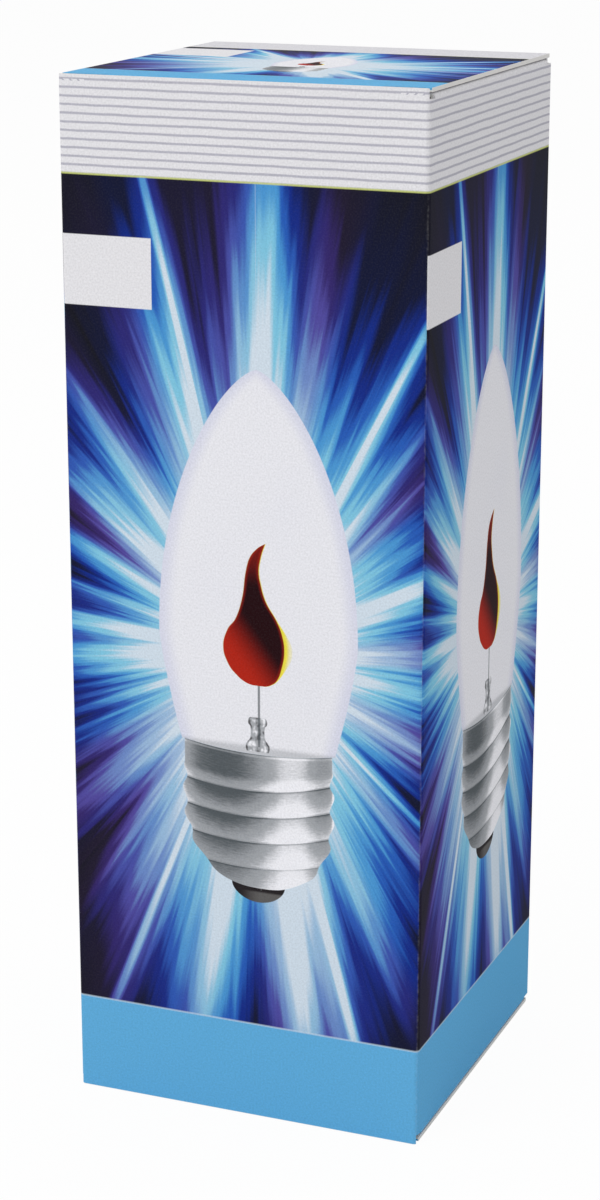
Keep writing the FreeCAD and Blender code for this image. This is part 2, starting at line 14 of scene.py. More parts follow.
import bmesh
import bpy
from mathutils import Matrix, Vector

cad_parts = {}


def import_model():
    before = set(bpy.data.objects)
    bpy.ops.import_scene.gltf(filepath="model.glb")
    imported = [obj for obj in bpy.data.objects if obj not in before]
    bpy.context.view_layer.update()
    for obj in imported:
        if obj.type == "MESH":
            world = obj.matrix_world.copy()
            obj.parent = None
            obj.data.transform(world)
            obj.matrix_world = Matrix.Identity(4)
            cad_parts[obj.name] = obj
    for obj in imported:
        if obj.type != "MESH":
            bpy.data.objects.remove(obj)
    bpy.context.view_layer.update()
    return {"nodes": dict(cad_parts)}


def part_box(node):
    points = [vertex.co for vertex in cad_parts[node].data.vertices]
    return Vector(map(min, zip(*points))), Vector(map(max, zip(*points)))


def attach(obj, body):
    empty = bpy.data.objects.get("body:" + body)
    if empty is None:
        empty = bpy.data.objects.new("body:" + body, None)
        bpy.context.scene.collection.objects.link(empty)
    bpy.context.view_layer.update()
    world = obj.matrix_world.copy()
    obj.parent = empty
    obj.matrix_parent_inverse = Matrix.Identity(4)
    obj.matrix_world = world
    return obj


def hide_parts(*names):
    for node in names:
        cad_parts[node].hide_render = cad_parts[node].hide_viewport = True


log = logging.getLogger("carton")

MM = 0.001
ON_AXIS = 1e-6
Color = tuple[float, float, float]
Point = tuple[float, float]
Section = Callable[[float], Sequence[Point]]


def linear(level: int) -> float:
    """A screen's level, 0 to 255, as the linear value that shaders take."""
    share = level / 255
    return share / 12.92 if share <= 0.04045 else ((share + 0.055) / 1.055) ** 2.4


def paint(red: int, green: int, blue: int) -> Color:
    """A colour as a screen shows it, in the linear values that shaders take."""
    return (linear(red), linear(green), linear(blue))


class SocketKind(Enum):
    """The kinds of socket that the effect groups have."""

    VALUE = "NodeSocketFloat"
    COLOR = "NodeSocketColor"
    VECTOR = "NodeSocketVector"


def arithmetic(operation: str, swapped: bool = False) -> Callable[..., "Signal"]:
    """A method that joins a signal and what it is given with one Math node.

    Args:
        operation: The Math node's operation.
        swapped: Whether the other value comes first.

    Returns:
        The method.
    """
    def joined(signal: "Signal", *others: "Level") -> "Signal":
        """The joined value."""
        values = (signal, *others)
        return signal.shade.math(operation, *(values[::-1] if swapped else values))

    return joined


@dataclass(frozen=True)
class Signal:
    """A value that changes over the surface. Work on it adds the nodes that work it out."""

    shade: "Shade"
    socket: bpy.types.NodeSocket

    __add__ = arithmetic("ADD")
    __radd__ = arithmetic("ADD", swapped=True)
    __sub__ = arithmetic("SUBTRACT")
    __rsub__ = arithmetic("SUBTRACT", swapped=True)
    __mul__ = arithmetic("MULTIPLY")
    __rmul__ = arithmetic("MULTIPLY", swapped=True)
    __truediv__ = arithmetic("DIVIDE")
    __pow__ = arithmetic("POWER")
    __abs__ = arithmetic("ABSOLUTE")
    __lt__ = arithmetic("LESS_THAN")
    __gt__ = arithmetic("GREATER_THAN")
    at_least = arithmetic("MAXIMUM")
    at_most = arithmetic("MINIMUM")

    def wrapped(self, reach: float) -> "Signal":
        """The value brought within plus or minus a reach, as an angle is."""
        return self.shade.math("WRAP", self, reach, -reach)

    def rise(self, low: "Level", high: "Level") -> "Signal":
        """Zero where the value is low or less, one where it is high or more, smooth between."""
        levels = {"Value": self, "From Min": low, "From Max": high}
        return self.shade.put("MapRange", levels, interpolation_type="SMOOTHSTEP")

    def within(self, low: float, high: float, soft: float) -> "Signal":
        """One between two levels and zero outside them, with soft edges."""
        return self.rise(low - soft, low + soft) * (1.0 - self.rise(high - soft, high + soft))

    def blend(self, first: "Input", second: "Input") -> "Signal":
        """The first colour where the value is zero, the second where it is one."""
        return self.shade.put("Mix", {0: self, 6: first, 7: second}, 2, data_type="RGBA")

    def choose(self, first: "Level", second: "Level") -> "Signal":
        """The first level where the value is zero, the second where it is one."""
        return self.shade.put("Mix", {0: self, 2: first, 3: second}, data_type="FLOAT")

    def parts(self) -> tuple["Signal", "Signal", "Signal"]:
        """The three parts of a vector."""
        outputs = self.shade.put("SeparateXYZ", {0: self}).socket.node.outputs
        return tuple(Signal(self.shade, output) for output in outputs)

    def scaled(self, factor: "Level") -> "Signal":
        """A colour or a vector times a factor."""
        return self.shade.put("VectorMath", {0: self, "Scale": factor}, operation="SCALE")

    def noise(self, scale: float, detail: float = 2.0, roughness: float = 0.5) -> "Signal":
        """Smooth noise at this place, from 0 to 1 round 0.5."""
        inputs = {"Vector": self, "Scale": scale, "Detail": detail, "Roughness": roughness}
        return self.shade.put("TexNoise", inputs)

    def bump(self, strength: float, depth: float) -> "Signal":
        """A normal that follows this height, with the relief's depth in millimetres."""
        return self.shade.put("Bump", {"Strength": strength, "Distance": depth * MM, "Height": self})

    def ramp(self, stops: Sequence[tuple[float, Color]]) -> "Signal":
        """The value's colour on a smooth ramp.

        Args:
            stops: Each place on the ramp, 0 to 1, with its colour.

        Returns:
            The colour.
        """
        ramped = self.shade.put("ValToRGB", {0: self})
        ramp = ramped.socket.node.color_ramp
        ramp.interpolation = "EASE"
        while len(ramp.elements) < len(stops):
            ramp.elements.new(0.5)
        for element, (place, color) in zip(ramp.elements, stops):
            element.position = place
            element.color = (*color, 1.0)
        return ramped

    def curve(self, points: Sequence[Point]) -> "Signal":
        """The value's height on a smooth curve.

        Args:
            points: Points whose places and heights run from 0 to 1.

        Returns:
            The height.
        """
        curved = self.shade.put("FloatCurve", {"Value": self})
        mapping = curved.socket.node.mapping
        marks = mapping.curves[0].points
        while len(marks) < len(points):
            marks.new(0.5, 0.5)
        for mark, place in zip(marks, points):
            mark.location = place
        mapping.update()
        return curved


Level = Union[Signal, float]
Input = Union[Signal, float, Color]
SocketName = Union[str, int]


class Shade:
    """Adds nodes to one material or one effect group."""

    def __init__(self, tree: bpy.types.NodeTree) -> None:
        """Take the tree that the nodes go into."""
        self.tree = tree

    def node(self, kind: str, **settings: object) -> bpy.types.Node:
        """A new node.

        Args:
            kind: The node's type name without its ShaderNode start.
            settings: The node's own options.

        Returns:
            The node.
        """
        made = self.tree.nodes.new("ShaderNode" + kind)
        for name, value in settings.items():
            setattr(made, name, value)
        return made

    def feed(self, socket: bpy.types.NodeSocket, value: Input) -> None:
        """Link a value to a socket, or set the socket where the value is a constant.

        Args:
            socket: The input.
            value: What it gets.
        """
        if isinstance(value, Signal):
            self.tree.links.new(value.socket, socket)
        elif isinstance(value, tuple) and socket.type == "RGBA":
            socket.default_value = (*value, 1.0)
        else:
            socket.default_value = value

    def put(
        self, kind: str, inputs: dict[SocketName, Input], output: SocketName = 0, **settings: object
    ) -> Signal:
        """A new node with its inputs fed, read at one output.

        Args:
            kind: The node's type name without its ShaderNode start.
            inputs: Each input's name or number with its value.
            output: The output's name or number.
            settings: The node's own options.

        Returns:
            What the output gives.
        """
        made = self.node(kind, **settings)
        for name, value in inputs.items():
            self.feed(made.inputs[name], value)
        return Signal(self, made.outputs[output])

    def math(self, operation: str, *values: Level) -> Signal:
        """The result of one Math node."""
        return self.put("Math", dict(enumerate(values)), operation=operation)

    def vector_math(self, operation: str, *values: Input) -> Signal:
        """The result of one Vector Math node."""
        return self.put("VectorMath", dict(enumerate(values)), operation=operation)

    def vector(self, x: Level, y: Level, z: Level = 0.0) -> Signal:
        """A vector from its three parts."""
        return self.put("CombineXYZ", {0: x, 1: y, 2: z})

    def length(self, x: Level, y: Level) -> Signal:
        """The length of a flat vector."""
        return self.put("VectorMath", {0: self.vector(x, y)}, "Value", operation="LENGTH")

    def heading(self, x: Level, y: Level, turns: float, depth: Level) -> Signal:
        """A place on a ring by the direction of a flat vector, with a depth of its own."""
        direction = self.vector_math("NORMALIZE", self.vector(x, y))
        ring = self.vector_math("MULTIPLY", direction, (turns, turns, 0.0))
        return self.vector_math("ADD", ring, self.vector(0.0, 0.0, depth))

    def millimetres(self) -> Signal:
        """The place on the piece at rest, in millimetres."""
        return self.vector_math("MULTIPLY", self.put("TexCoord", {}, "Object"), (1 / MM, 1 / MM, 1 / MM))

    def use(self, group: "EffectGroup", **values: Input) -> Signal:
        """One effect group with its own values, read at its output."""
        inputs = {name.replace("_", " ").capitalize(): value for name, value in values.items()}
        return self.put("Group", inputs, node_tree=group.tree)


class EffectGroup:
    """An effect that several materials use, with named inputs and one output."""

    def __init__(
        self,
        name: str,
        inputs: dict[str, tuple[SocketKind, float]],
        output: tuple[str, SocketKind],
        build: Callable[..., Signal],
    ) -> None:
        """Make the group and build its nodes.

        Args:
            name: The group's name.
            inputs: Each input's name with its kind and its usual value.
            output: The output's name and kind.
            build: Takes one value per input and gives the result.
        """
        self.tree = bpy.data.node_groups.new(name, "ShaderNodeTree")
        for label, (kind, usual) in inputs.items():
            socket = self.tree.interface.new_socket(label, in_out="INPUT", socket_type=kind.value)
            if kind is SocketKind.VALUE:
                socket.default_value = usual
        self.tree.interface.new_socket(output[0], in_out="OUTPUT", socket_type=output[1].value)
        start = self.tree.nodes.new("NodeGroupInput")
        end = self.tree.nodes.new("NodeGroupOutput")
        shade = Shade(self.tree)
        result = build(*[Signal(shade, start.outputs[label]) for label in inputs])
        self.tree.links.new(result.socket, end.inputs[0])


@dataclass(frozen=True)
class Gloss:
    """The constants of a surface, which are set on the shader itself."""

    roughness: float
    metallic: float = 0.0
    specular: float = 0.5
    coat: float = 0.0
    coat_roughness: float = 0.2
    transmission: float = 0.0
    ior: float = 1.45


@dataclass(frozen=True)
class Finish:
    """A surface. Each finish works out its own colour and relief."""

    name: str
    gloss: Gloss

    def color(self, shade: Shade) -> Signal:
        """The colour over the surface."""
        raise NotImplementedError

    def normal(self, shade: Shade) -> Signal:
        """The normal over the surface."""
        raise NotImplementedError

    def roughness(self, shade: Shade) -> Level:
        """The roughness, the same all over unless a finish says otherwise."""
        return self.gloss.roughness

    def material(self) -> bpy.types.Material:
        """The finish as a new material.

        Returns:
            The material.
        """
        material = bpy.data.materials.new(self.name)
        material.use_nodes = True
        material.node_tree.nodes.clear()
        shade = Shade(material.node_tree)
        surface = shade.put("BsdfPrincipled", {
            "Base Color": self.color(shade),
            "Normal": self.normal(shade),
            "Roughness": self.roughness(shade),
            "Metallic": self.gloss.metallic,
            "Specular IOR Level": self.gloss.specular,
            "Coat Weight": self.gloss.coat,
            "Coat Roughness": self.gloss.coat_roughness,
            "Transmission Weight": self.gloss.transmission,
            "IOR": self.gloss.ior,
        })
        shade.feed(shade.node("OutputMaterial").inputs["Surface"], surface)
        return material


def dress(piece: bpy.types.Object, material: bpy.types.Material) -> None:
    """Give a piece its one material and report it.

    Args:
        piece: The piece.
        material: Its finish.
    """
    piece.data.materials.clear()
    piece.data.materials.append(material)
    log.info("%s is dressed in %s", piece.name, material.name)


@dataclass(frozen=True)
class CartonSize:
    """The carton's sizes in millimetres, read from the frame where the frame has them."""

    half: float
    height: float
    board: float = 0.4
    crease: float = 0.5
    hinge_turn: float = 45.0

    @property
    def width(self) -> float:
        """The width of one face."""
        return 2 * self.half

    @property
    def straight(self) -> float:
        """How far the flat of a face reaches from its middle."""
        return self.half - self.crease

    @property
    def hinge_inset(self) -> float:
        """How far a lid's hinge line lies inside the faces, on the round of the rear crease."""
        return self.crease * (1.0 - math.cos(math.radians(self.hinge_turn)))


@dataclass(frozen=True)
class Inks:
    """The colours of the print and of the board under it. Rays go from dark to light."""

    ray_stops: tuple[float, ...] = (0.0, 0.18, 0.33, 0.46, 0.6, 0.78, 1.0)
    cool_rays: tuple[Color, ...] = (
        paint(26, 26, 35), paint(23, 27, 54), paint(24, 46, 132), paint(42, 92, 180), paint(76, 150, 208),
        paint(128, 196, 222), paint(208, 221, 232))
    warm_rays: tuple[Color, ...] = (
        paint(26, 26, 35), paint(36, 30, 49), paint(56, 42, 104), paint(84, 74, 154), paint(112, 136, 194),
        paint(156, 184, 216), paint(208, 221, 232))
    pale_line: Color = paint(208, 221, 232)
    foot_band: Color = paint(98, 174, 220)
    head_band: Color = paint(228, 227, 230)
    head_line: Color = paint(180, 179, 190)
    lime: Color = paint(206, 214, 126)
    glass: Color = paint(233, 233, 238)
    glass_edge: Color = paint(204, 206, 228)
    flame_red: Color = paint(176, 40, 26)
    flame_dark: Color = paint(38, 16, 20)
    flame_rim: Color = paint(236, 222, 74)
    steel_dark: Color = paint(84, 90, 94)
    steel_mid: Color = paint(160, 163, 167)
    steel_light: Color = paint(240, 240, 244)
    plug: Color = paint(40, 36, 38)
    contact: Color = paint(128, 126, 124)
    coated: Color = paint(232, 231, 230)
    core: Color = paint(226, 224, 220)
    speck: Color = paint(168, 164, 158)


@dataclass(frozen=True)
class Beam:
    """One bright ray: its bearing from straight up and its half width in degrees, and its strength."""

    bearing: float
    spread: float
    strength: float


@dataclass(frozen=True)
class Streaks:
    """A set of streaks: how many fit round the middle, their strength, their seed and their change."""

    turns: float
    strength: float
    seed: float
    change: float


@dataclass(frozen=True)
class Burst:
    """Rays that spread from behind the lamp. Sizes are millimetres on a wall."""

    inks: Inks = Inks()
    across: float = 20.4
    up: float = 50.5
    reach_across: float = 25.0
    reach_up: float = 48.0
    hue_turns: float = 4.0
    hue_seed: float = 5.0
    hue_edges: Point = (0.45, 0.65)
    glow_limit: float = 1.4
    glow_place: float = 0.52
    glow_terms: tuple[float, float, float] = (0.6, 1.42, 0.735)
    dying_edges: Point = (0.7, 1.15)
    dying_share: float = 0.72
    streak_sets: tuple[Streaks, ...] = (
        Streaks(2.3, 0.85, 11.0, 0.0), Streaks(6.5, 1.15, 3.0, 0.4), Streaks(18.0, 0.65, 7.0, 1.0),
        Streaks(52.0, 0.34, 19.0, 2.0))
    beams: tuple[Beam, ...] = (
        Beam(-14.0, 0.8, 0.95), Beam(27.5, 1.0, 0.95), Beam(1.5, 3.6, 0.6), Beam(-38.0, 2.6, 0.42),
        Beam(-52.0, 1.5, 0.34), Beam(63.0, 3.4, 0.34), Beam(-86.0, 3.6, 0.36), Beam(98.0, 3.4, 0.34),
        Beam(132.0, 1.1, 0.5), Beam(165.0, 1.1, 0.85), Beam(172.0, 3.0, 0.5), Beam(-158.0, 1.0, 0.85),
        Beam(-124.0, 2.8, 0.3), Beam(-171.0, 2.4, 0.36),
    )

    def build(self, across: Signal, up: Signal) -> Signal:
        """The colour of the rays.

        Args:
            across: Millimetres from the face's left edge.
            up: Millimetres from the face's lower edge.

        Returns:
            The colour.
        """
        shade = across.shade
        aside = across - self.across
        over = up - self.up
        far = shade.length(aside / self.reach_across, over / self.reach_up)
        past = far.at_most(self.glow_limit) - self.glow_place
        bend, slope, level = self.glow_terms
        middle = past * past * bend - past * slope + level
        dying = 1.0 - far.rise(*self.dying_edges) * self.dying_share
        light = middle + self.streaks(aside, over, far) * dying + self.beam_light(aside, over, far)
        cool = light.ramp(tuple(zip(self.inks.ray_stops, self.inks.cool_rays)))
        warm = light.ramp(tuple(zip(self.inks.ray_stops, self.inks.warm_rays)))
        heading = shade.heading(aside, over, self.hue_turns, self.hue_seed)
        return heading.noise(1.0, 1.0).rise(*self.hue_edges).blend(cool, warm)

    def streaks(self, aside: Signal, over: Signal, far: Signal) -> Signal:
        """Uneven light round the middle, from broad beams down to fine streaks.

        Args:
            aside: Millimetres to the right of the middle.
            over: Millimetres above the middle.
            far: The distance from the middle, one at the rays' reach.

        Returns:
            The light.
        """
        total = 0.0
        for group in self.streak_sets:
            heading = aside.shade.heading(aside, over, group.turns, group.seed + far * group.change)
            total = (heading.noise(1.0, 2.0, 0.55) - 0.5) * group.strength + total
        return total

    def beam_light(self, aside: Signal, over: Signal, far: Signal) -> Signal:
        """The light that the chosen beams add, each with a crisp core in a soft glow.

        Args:
            aside: Millimetres to the right of the middle.
            over: Millimetres above the middle.
            far: The distance from the middle, one at the rays' reach.

        Returns:
            The light.
        """
        bearing = aside.shade.math("ARCTAN2", aside, over) * math.degrees(1.0)
        total = 0.0
        for beam in self.beams:
            off = abs((bearing - beam.bearing).wrapped(180.0))
            core = 1.0 - off.rise(beam.spread * 0.2, beam.spread * 1.1)
            glow = 1.0 - off.rise(beam.spread * 0.5, beam.spread * 4.0)
            total = (core * 0.5 + glow * 0.22) * beam.strength + total
        return total * (1.0 - far.rise(0.6, 1.5) * 0.75)


@dataclass(frozen=True)
class DrawnLamp:
    """A plain drawing of a candle lamp. Sizes are millimetres on a wall.

    Each drawing method takes the place as millimetres aside of the lamp's axis and up from the face's
    lower edge, and the colour behind. It gives the colour with its part drawn over it.
    """

    inks: Inks = Inks()
    across: float = 20.6
    tip: float = 79.1
    widest: float = 52.0
    half_width: float = 10.65
    oval_power: float = 0.69
    neck_drop: float = 0.22
    neck_power: float = 1.3
    rim: float = 40.7
    rim_sag: float = 0.8
    rim_half_width: float = 8.3
    cap_half_width: float = 8.0
    thread_top: float = 37.1
    ridge_pitch: float = 2.78
    ridge_depth: float = 0.24
    ridge_sag: float = 1.15
    ridge_climb: float = 0.45
    bowl_top: float = 34.0
    bowl_power: float = 0.4
    foot: float = 25.8
    foot_hang: float = 0.5
    plug_half_width: float = 2.9
    plug_depth: float = 1.85
    stem_height: float = 3.6
    stem_half_width: float = 1.3
    flame_bottom: float = 47.15
    flame_top: float = 61.85
    flame_reach: float = 4.0
    edge: float = 0.06
    cap_tones: tuple[Point, ...] = (
        (0.0, 0.7), (0.05, 0.42), (0.14, 0.22), (0.3, 0.17), (0.45, 0.34), (0.6, 0.7), (0.74, 0.94),
        (0.87, 0.62), (0.95, 0.48), (1.0, 0.8))
    stem_widths: tuple[Point, ...] = (
        (0.0, 0.9), (0.14, 1.0), (0.27, 0.84), (0.4, 0.62), (0.72, 0.6), (0.82, 0.78), (0.94, 0.76),
        (1.0, 0.5))
    flame_left: tuple[Point, ...] = (
        (0.0, 0.44), (0.015, 0.34), (0.055, 0.23), (0.14, 0.1), (0.25, 0.04), (0.37, 0.095), (0.46, 0.21),
        (0.61, 0.3), (0.8, 0.352), (0.89, 0.4), (0.95, 0.48), (1.0, 0.61))
    flame_right: tuple[Point, ...] = (
        (0.0, 0.6), (0.015, 0.68), (0.055, 0.765), (0.14, 0.825), (0.27, 0.862), (0.38, 0.83), (0.46, 0.77),
        (0.61, 0.605), (0.71, 0.55), (0.8, 0.523), (0.89, 0.545), (1.0, 0.61))

    def build(self, across: Signal, up: Signal, share: Signal, behind: Signal) -> Signal:
        """The drawing over what is behind it.

        Args:
            across: Millimetres from the face's left edge.
            up: Millimetres from the face's lower edge.
            share: The drawn lamp's width as a share of its usual width.
            behind: The colour behind the lamp.

        Returns:
            The colour.
        """
        aside = (across - self.across) / share
        for draw in (self.cap_foot, self.cap, self.glass, self.stem, self.flame):
            behind = draw(aside, up, behind)
        return behind

    def inside(self, depth: Signal) -> Signal:
        """One where a depth is over zero, with the drawing's soft edge."""
        return depth.rise(-self.edge, self.edge)

    def over_rim(self, aside: Signal, up: Signal) -> Signal:
        """How far a place lies over the cap's rim, an arc that sags in the middle."""
        share = aside / self.rim_half_width
        return up - (self.rim - self.rim_sag * (1.0 - share * share))

    def glass(self, aside: Signal, up: Signal, behind: Signal) -> Signal:
        """The envelope: a pointed oval, pale inside, lilac along its edges."""
        climb = ((up - self.widest) / (self.tip - self.widest)).at_least(0.0)
        drop = ((self.widest - up) / (self.widest - self.rim)).at_least(0.0)
        upper = (1.0 - climb * climb).at_least(0.0) ** self.oval_power
        depth = self.half_width * (upper - self.neck_drop * drop ** self.neck_power) - abs(aside)
        tint = (1.0 - depth.rise(0.0, 2.0)) * 0.62
        cloud = aside.shade.vector(aside, up).noise(0.12, 1.0) - 0.5
        tinted = (tint + cloud * 0.2).blend(self.inks.glass, self.inks.glass_edge)
        neck = 1.0 - up.rise(self.rim - 0.3, self.rim + 0.35)
        tinted = (neck * 0.55).blend(tinted, self.inks.steel_mid)
        return (self.inside(depth) * self.inside(self.over_rim(aside, up))).blend(behind, tinted)

    def cap(self, aside: Signal, up: Signal, behind: Signal) -> Signal:
        """The threaded wall: rounded ridges, dark at the left and bright right of the middle."""
        shade = aside.shade
        share = aside / self.cap_half_width
        line = up + self.ridge_sag * (1.0 - share * share) - self.ridge_climb * share
        turns = (self.thread_top - line) / self.ridge_pitch
        threaded = turns.rise(-0.6, -0.3)
        fall = ((self.bowl_top - up) / (self.bowl_top - self.foot + 0.3)).at_least(0.0).at_most(1.0)
        bowl = (1.0 - fall * fall) ** self.bowl_power
        wave = shade.math("COSINE", (turns - 0.45) * (2.0 * math.pi))
        half = self.cap_half_width * bowl + wave * self.ridge_depth * threaded * bowl
        over_rim = self.over_rim(aside, up)
        over_foot = up + self.foot_arc(aside) - self.foot
        sides = self.inside(half - abs(aside - fall * 0.3))
        wall = sides * (1.0 - self.inside(over_rim)) * self.inside(over_foot)
        ridge = shade.math("FRACT", turns) ** 1.4 * 0.58 - 0.22
        groove = 1.0 - abs(turns.wrapped(0.5)).rise(0.0, 0.09)
        relief = threaded * (1.0 - fall * 0.6) * (ridge - groove * 0.3)
        lit = ((share + 1.0) / 2.0).curve(self.cap_tones) + relief + fall * 0.14 + threaded * 0.12 - 0.12
        brushed = shade.vector(aside * 1.2 + up * 0.8, line * 6.0).noise(1.0, 3.0, 0.65) - 0.5
        lip = over_rim.within(-0.32, -0.1, 0.08)
        edge_line = 1.0 - abs(over_rim).rise(0.02, 0.12)
        metal = (lit + brushed * 0.34 + lip * 0.2 - edge_line * 0.35).ramp((
            (0.0, self.inks.steel_dark), (0.5, self.inks.steel_mid), (1.0, self.inks.steel_light)))
        return wall.blend(behind, metal)

    def foot_arc(self, aside: Signal) -> Signal:
        """How far the cap's foot hangs down towards its middle."""
        share = aside / self.plug_half_width
        return (1.0 - share * share) * self.foot_hang

    def cap_foot(self, aside: Signal, up: Signal, behind: Signal) -> Signal:
        """The dark plug and the contact under the cap, a shallow bowl."""
        share = aside / self.plug_half_width
        floor = self.foot - self.plug_depth * (1.0 - share * share).at_least(0.0) ** 0.6
        below_bowl = 1.0 - up.rise(self.foot + 1.4, self.foot + 1.6)
        plug = self.inside(up - floor) * (abs(share) < 1.0) * below_bowl
        contact = (1.0 - up.rise(self.foot - 0.85, self.foot - 0.55)) * share.rise(-0.75, 0.1)
        return plug.blend(behind, (contact * 0.5).blend(self.inks.plug, self.inks.contact))

    def stem(self, aside: Signal, up: Signal, behind: Signal) -> Signal:
        """The glass stem, a small waisted column with dark edges, and the wire above it."""
        climb = (up - self.rim + 0.5) / self.stem_height
        depth = self.stem_half_width * climb.curve(self.stem_widths) - abs(aside)
        column = self.inside(depth) * climb.within(0.0, 1.0, 0.02)
        outline = 1.0 - depth.rise(0.0, 0.34)
        middle = 1.0 - abs(aside - 0.1).rise(0.05, 0.35)
        glints = aside.shade.vector(aside * 2.0, up * 1.5).noise(1.0, 1.0) - 0.5
        tone = (0.64 - outline * 0.56 - middle * 0.3 + glints * 2.0).ramp((
            (0.0, self.inks.plug), (0.5, self.inks.steel_mid), (1.0, self.inks.steel_light)))
        beside_wire = self.inside(0.12 - abs(aside - 0.15))
        wire = up.within(self.rim, self.flame_bottom + 0.2, self.edge) * beside_wire
        return (wire * 0.8).blend((column * 0.9).blend(behind, tone), self.inks.steel_dark)

    def flame(self, aside: Signal, up: Signal, behind: Signal) -> Signal:
        """The flame-shaped plate, red to black, with the yellow plate showing behind its right edge."""
        climb = (up - self.flame_bottom) / (self.flame_top - self.flame_bottom)
        place = (aside + self.flame_reach) / (2.0 * self.flame_reach)
        soft = self.edge / (2.0 * self.flame_reach)
        left = place - climb.curve(self.flame_left)
        right = climb.curve(self.flame_right) - place
        glow = climb.within(0.13, 0.38, 0.11) * 0.095 + 0.008
        present = up.within(self.flame_bottom, self.flame_top, 0.02) * left.rise(-soft, soft)
        body = present * right.rise(-soft, soft)
        rim = present * (right + glow).rise(-soft, soft)
        dark = (place * 1.25 + climb * 1.8).rise(0.55, 1.35) - climb.rise(0.68, 0.95) * 0.36
        dark = dark * (left.at_most(right).rise(0.0, 0.05) * 0.5 + 0.5)
        rim_tone = ((0.0 - right).rise(0.02, 0.09) * 0.6).blend(self.inks.flame_rim, self.inks.glass)
        coating = dark.blend(self.inks.flame_red, self.inks.flame_dark)
        return body.blend(rim.blend(behind, rim_tone), coating)


@dataclass(frozen=True)
class Design:
    """The printed design of one face: bands, a ray burst, a bare label and a plain lamp."""

    inks: Inks = Inks()
    foot_top: float = 10.35
    head_bottom: float = 97.05
    line_pitch: float = 0.821
    line_waver: float = 0.16
    line_edges: Point = (0.3, 1.02)
    thin_line: float = 0.1
    label_width: float = 9.65
    label_bottom: float = 84.2
    label_top: float = 91.15
    edge: float = 0.05

    def from_level(self, value: Signal, level: Level) -> Signal:
        """One where a value is over a level, with the print's soft edge."""
        return value.rise(level - self.edge, level + self.edge)

    def build(self, across: Signal, up: Signal, label_bottom: Signal, lamp_share: Signal) -> Signal:
        """The whole design over a face.

        Args:
            across: Millimetres from the face's left edge.
            up: Millimetres from the face's lower edge.
            label_bottom: The level of the bare label's lower edge.
            lamp_share: The drawn lamp's width as a share of its usual width.

        Returns:
            The print's colour.
        """
        picture = DrawnLamp().build(across, up, lamp_share, Burst().build(across, up))
        below = 1.0 - self.from_level(up, self.label_top)
        beside = below * (1.0 - self.from_level(across, self.label_width))
        picture = (self.from_level(up, label_bottom) * beside).blend(picture, self.inks.head_band)
        return self.bands(across, up, picture)

    def bands(self, across: Signal, up: Signal, picture: Signal) -> Signal:
        """The ruled band along the top and the plain band along the foot, with their thin lines.

        Args:
            across: Millimetres from the face's left edge.
            up: Millimetres from the face's lower edge.
            picture: The colour between the bands.

        Returns:
            The print's colour.
        """
        shade, inks = across.shade, self.inks
        waver = shade.vector(across * 0.3, up * 0.7).noise(1.0, 3.0) - 0.5
        lines = (up - self.head_bottom + self.line_waver * waver) / self.line_pitch
        wave = shade.math("COSINE", lines * (2.0 * math.pi))
        ruled = wave.rise(*self.line_edges).blend(inks.head_band, inks.head_line)
        picture = self.from_level(up, self.head_bottom).blend(picture, ruled)
        lime = up.within(self.head_bottom - self.thin_line, self.head_bottom + 0.08, self.edge)
        picture = (lime * 0.8).blend(picture, inks.lime)
        picture = (1.0 - self.from_level(up, self.foot_top)).blend(picture, inks.foot_band)
        pale = up.within(self.foot_top - self.thin_line, self.foot_top + self.thin_line, self.edge)
        return (pale * 0.5).blend(picture, inks.pale_line)


def grain_effect(place: Signal, scale: Signal, depth: Signal) -> Signal:
    """Fine uneven tone: one plus noise, for multiplying a colour."""
    return 1.0 + (place.scaled(scale).noise(1.0, 3.0, 0.6) - 0.5) * depth


class PrintEffects:
    """The groups that the board's materials share."""

    def __init__(self, layout: Design) -> None:
        """Build the groups for a design."""
        value, vector = (SocketKind.VALUE, 0.0), (SocketKind.VECTOR, 0.0)
        self.layout = layout
        self.design = EffectGroup(
            "printed_design",
            {"Across": value, "Up": value, "Label bottom": value, "Lamp share": (SocketKind.VALUE, 1.0)},
            ("Color", SocketKind.COLOR), layout.build)
        self.grain = EffectGroup(
            "fine_grain",
            {"Place": vector, "Scale": (SocketKind.VALUE, 5.0), "Depth": (SocketKind.VALUE, 0.1)},
            ("Tone", SocketKind.VALUE), grain_effect)


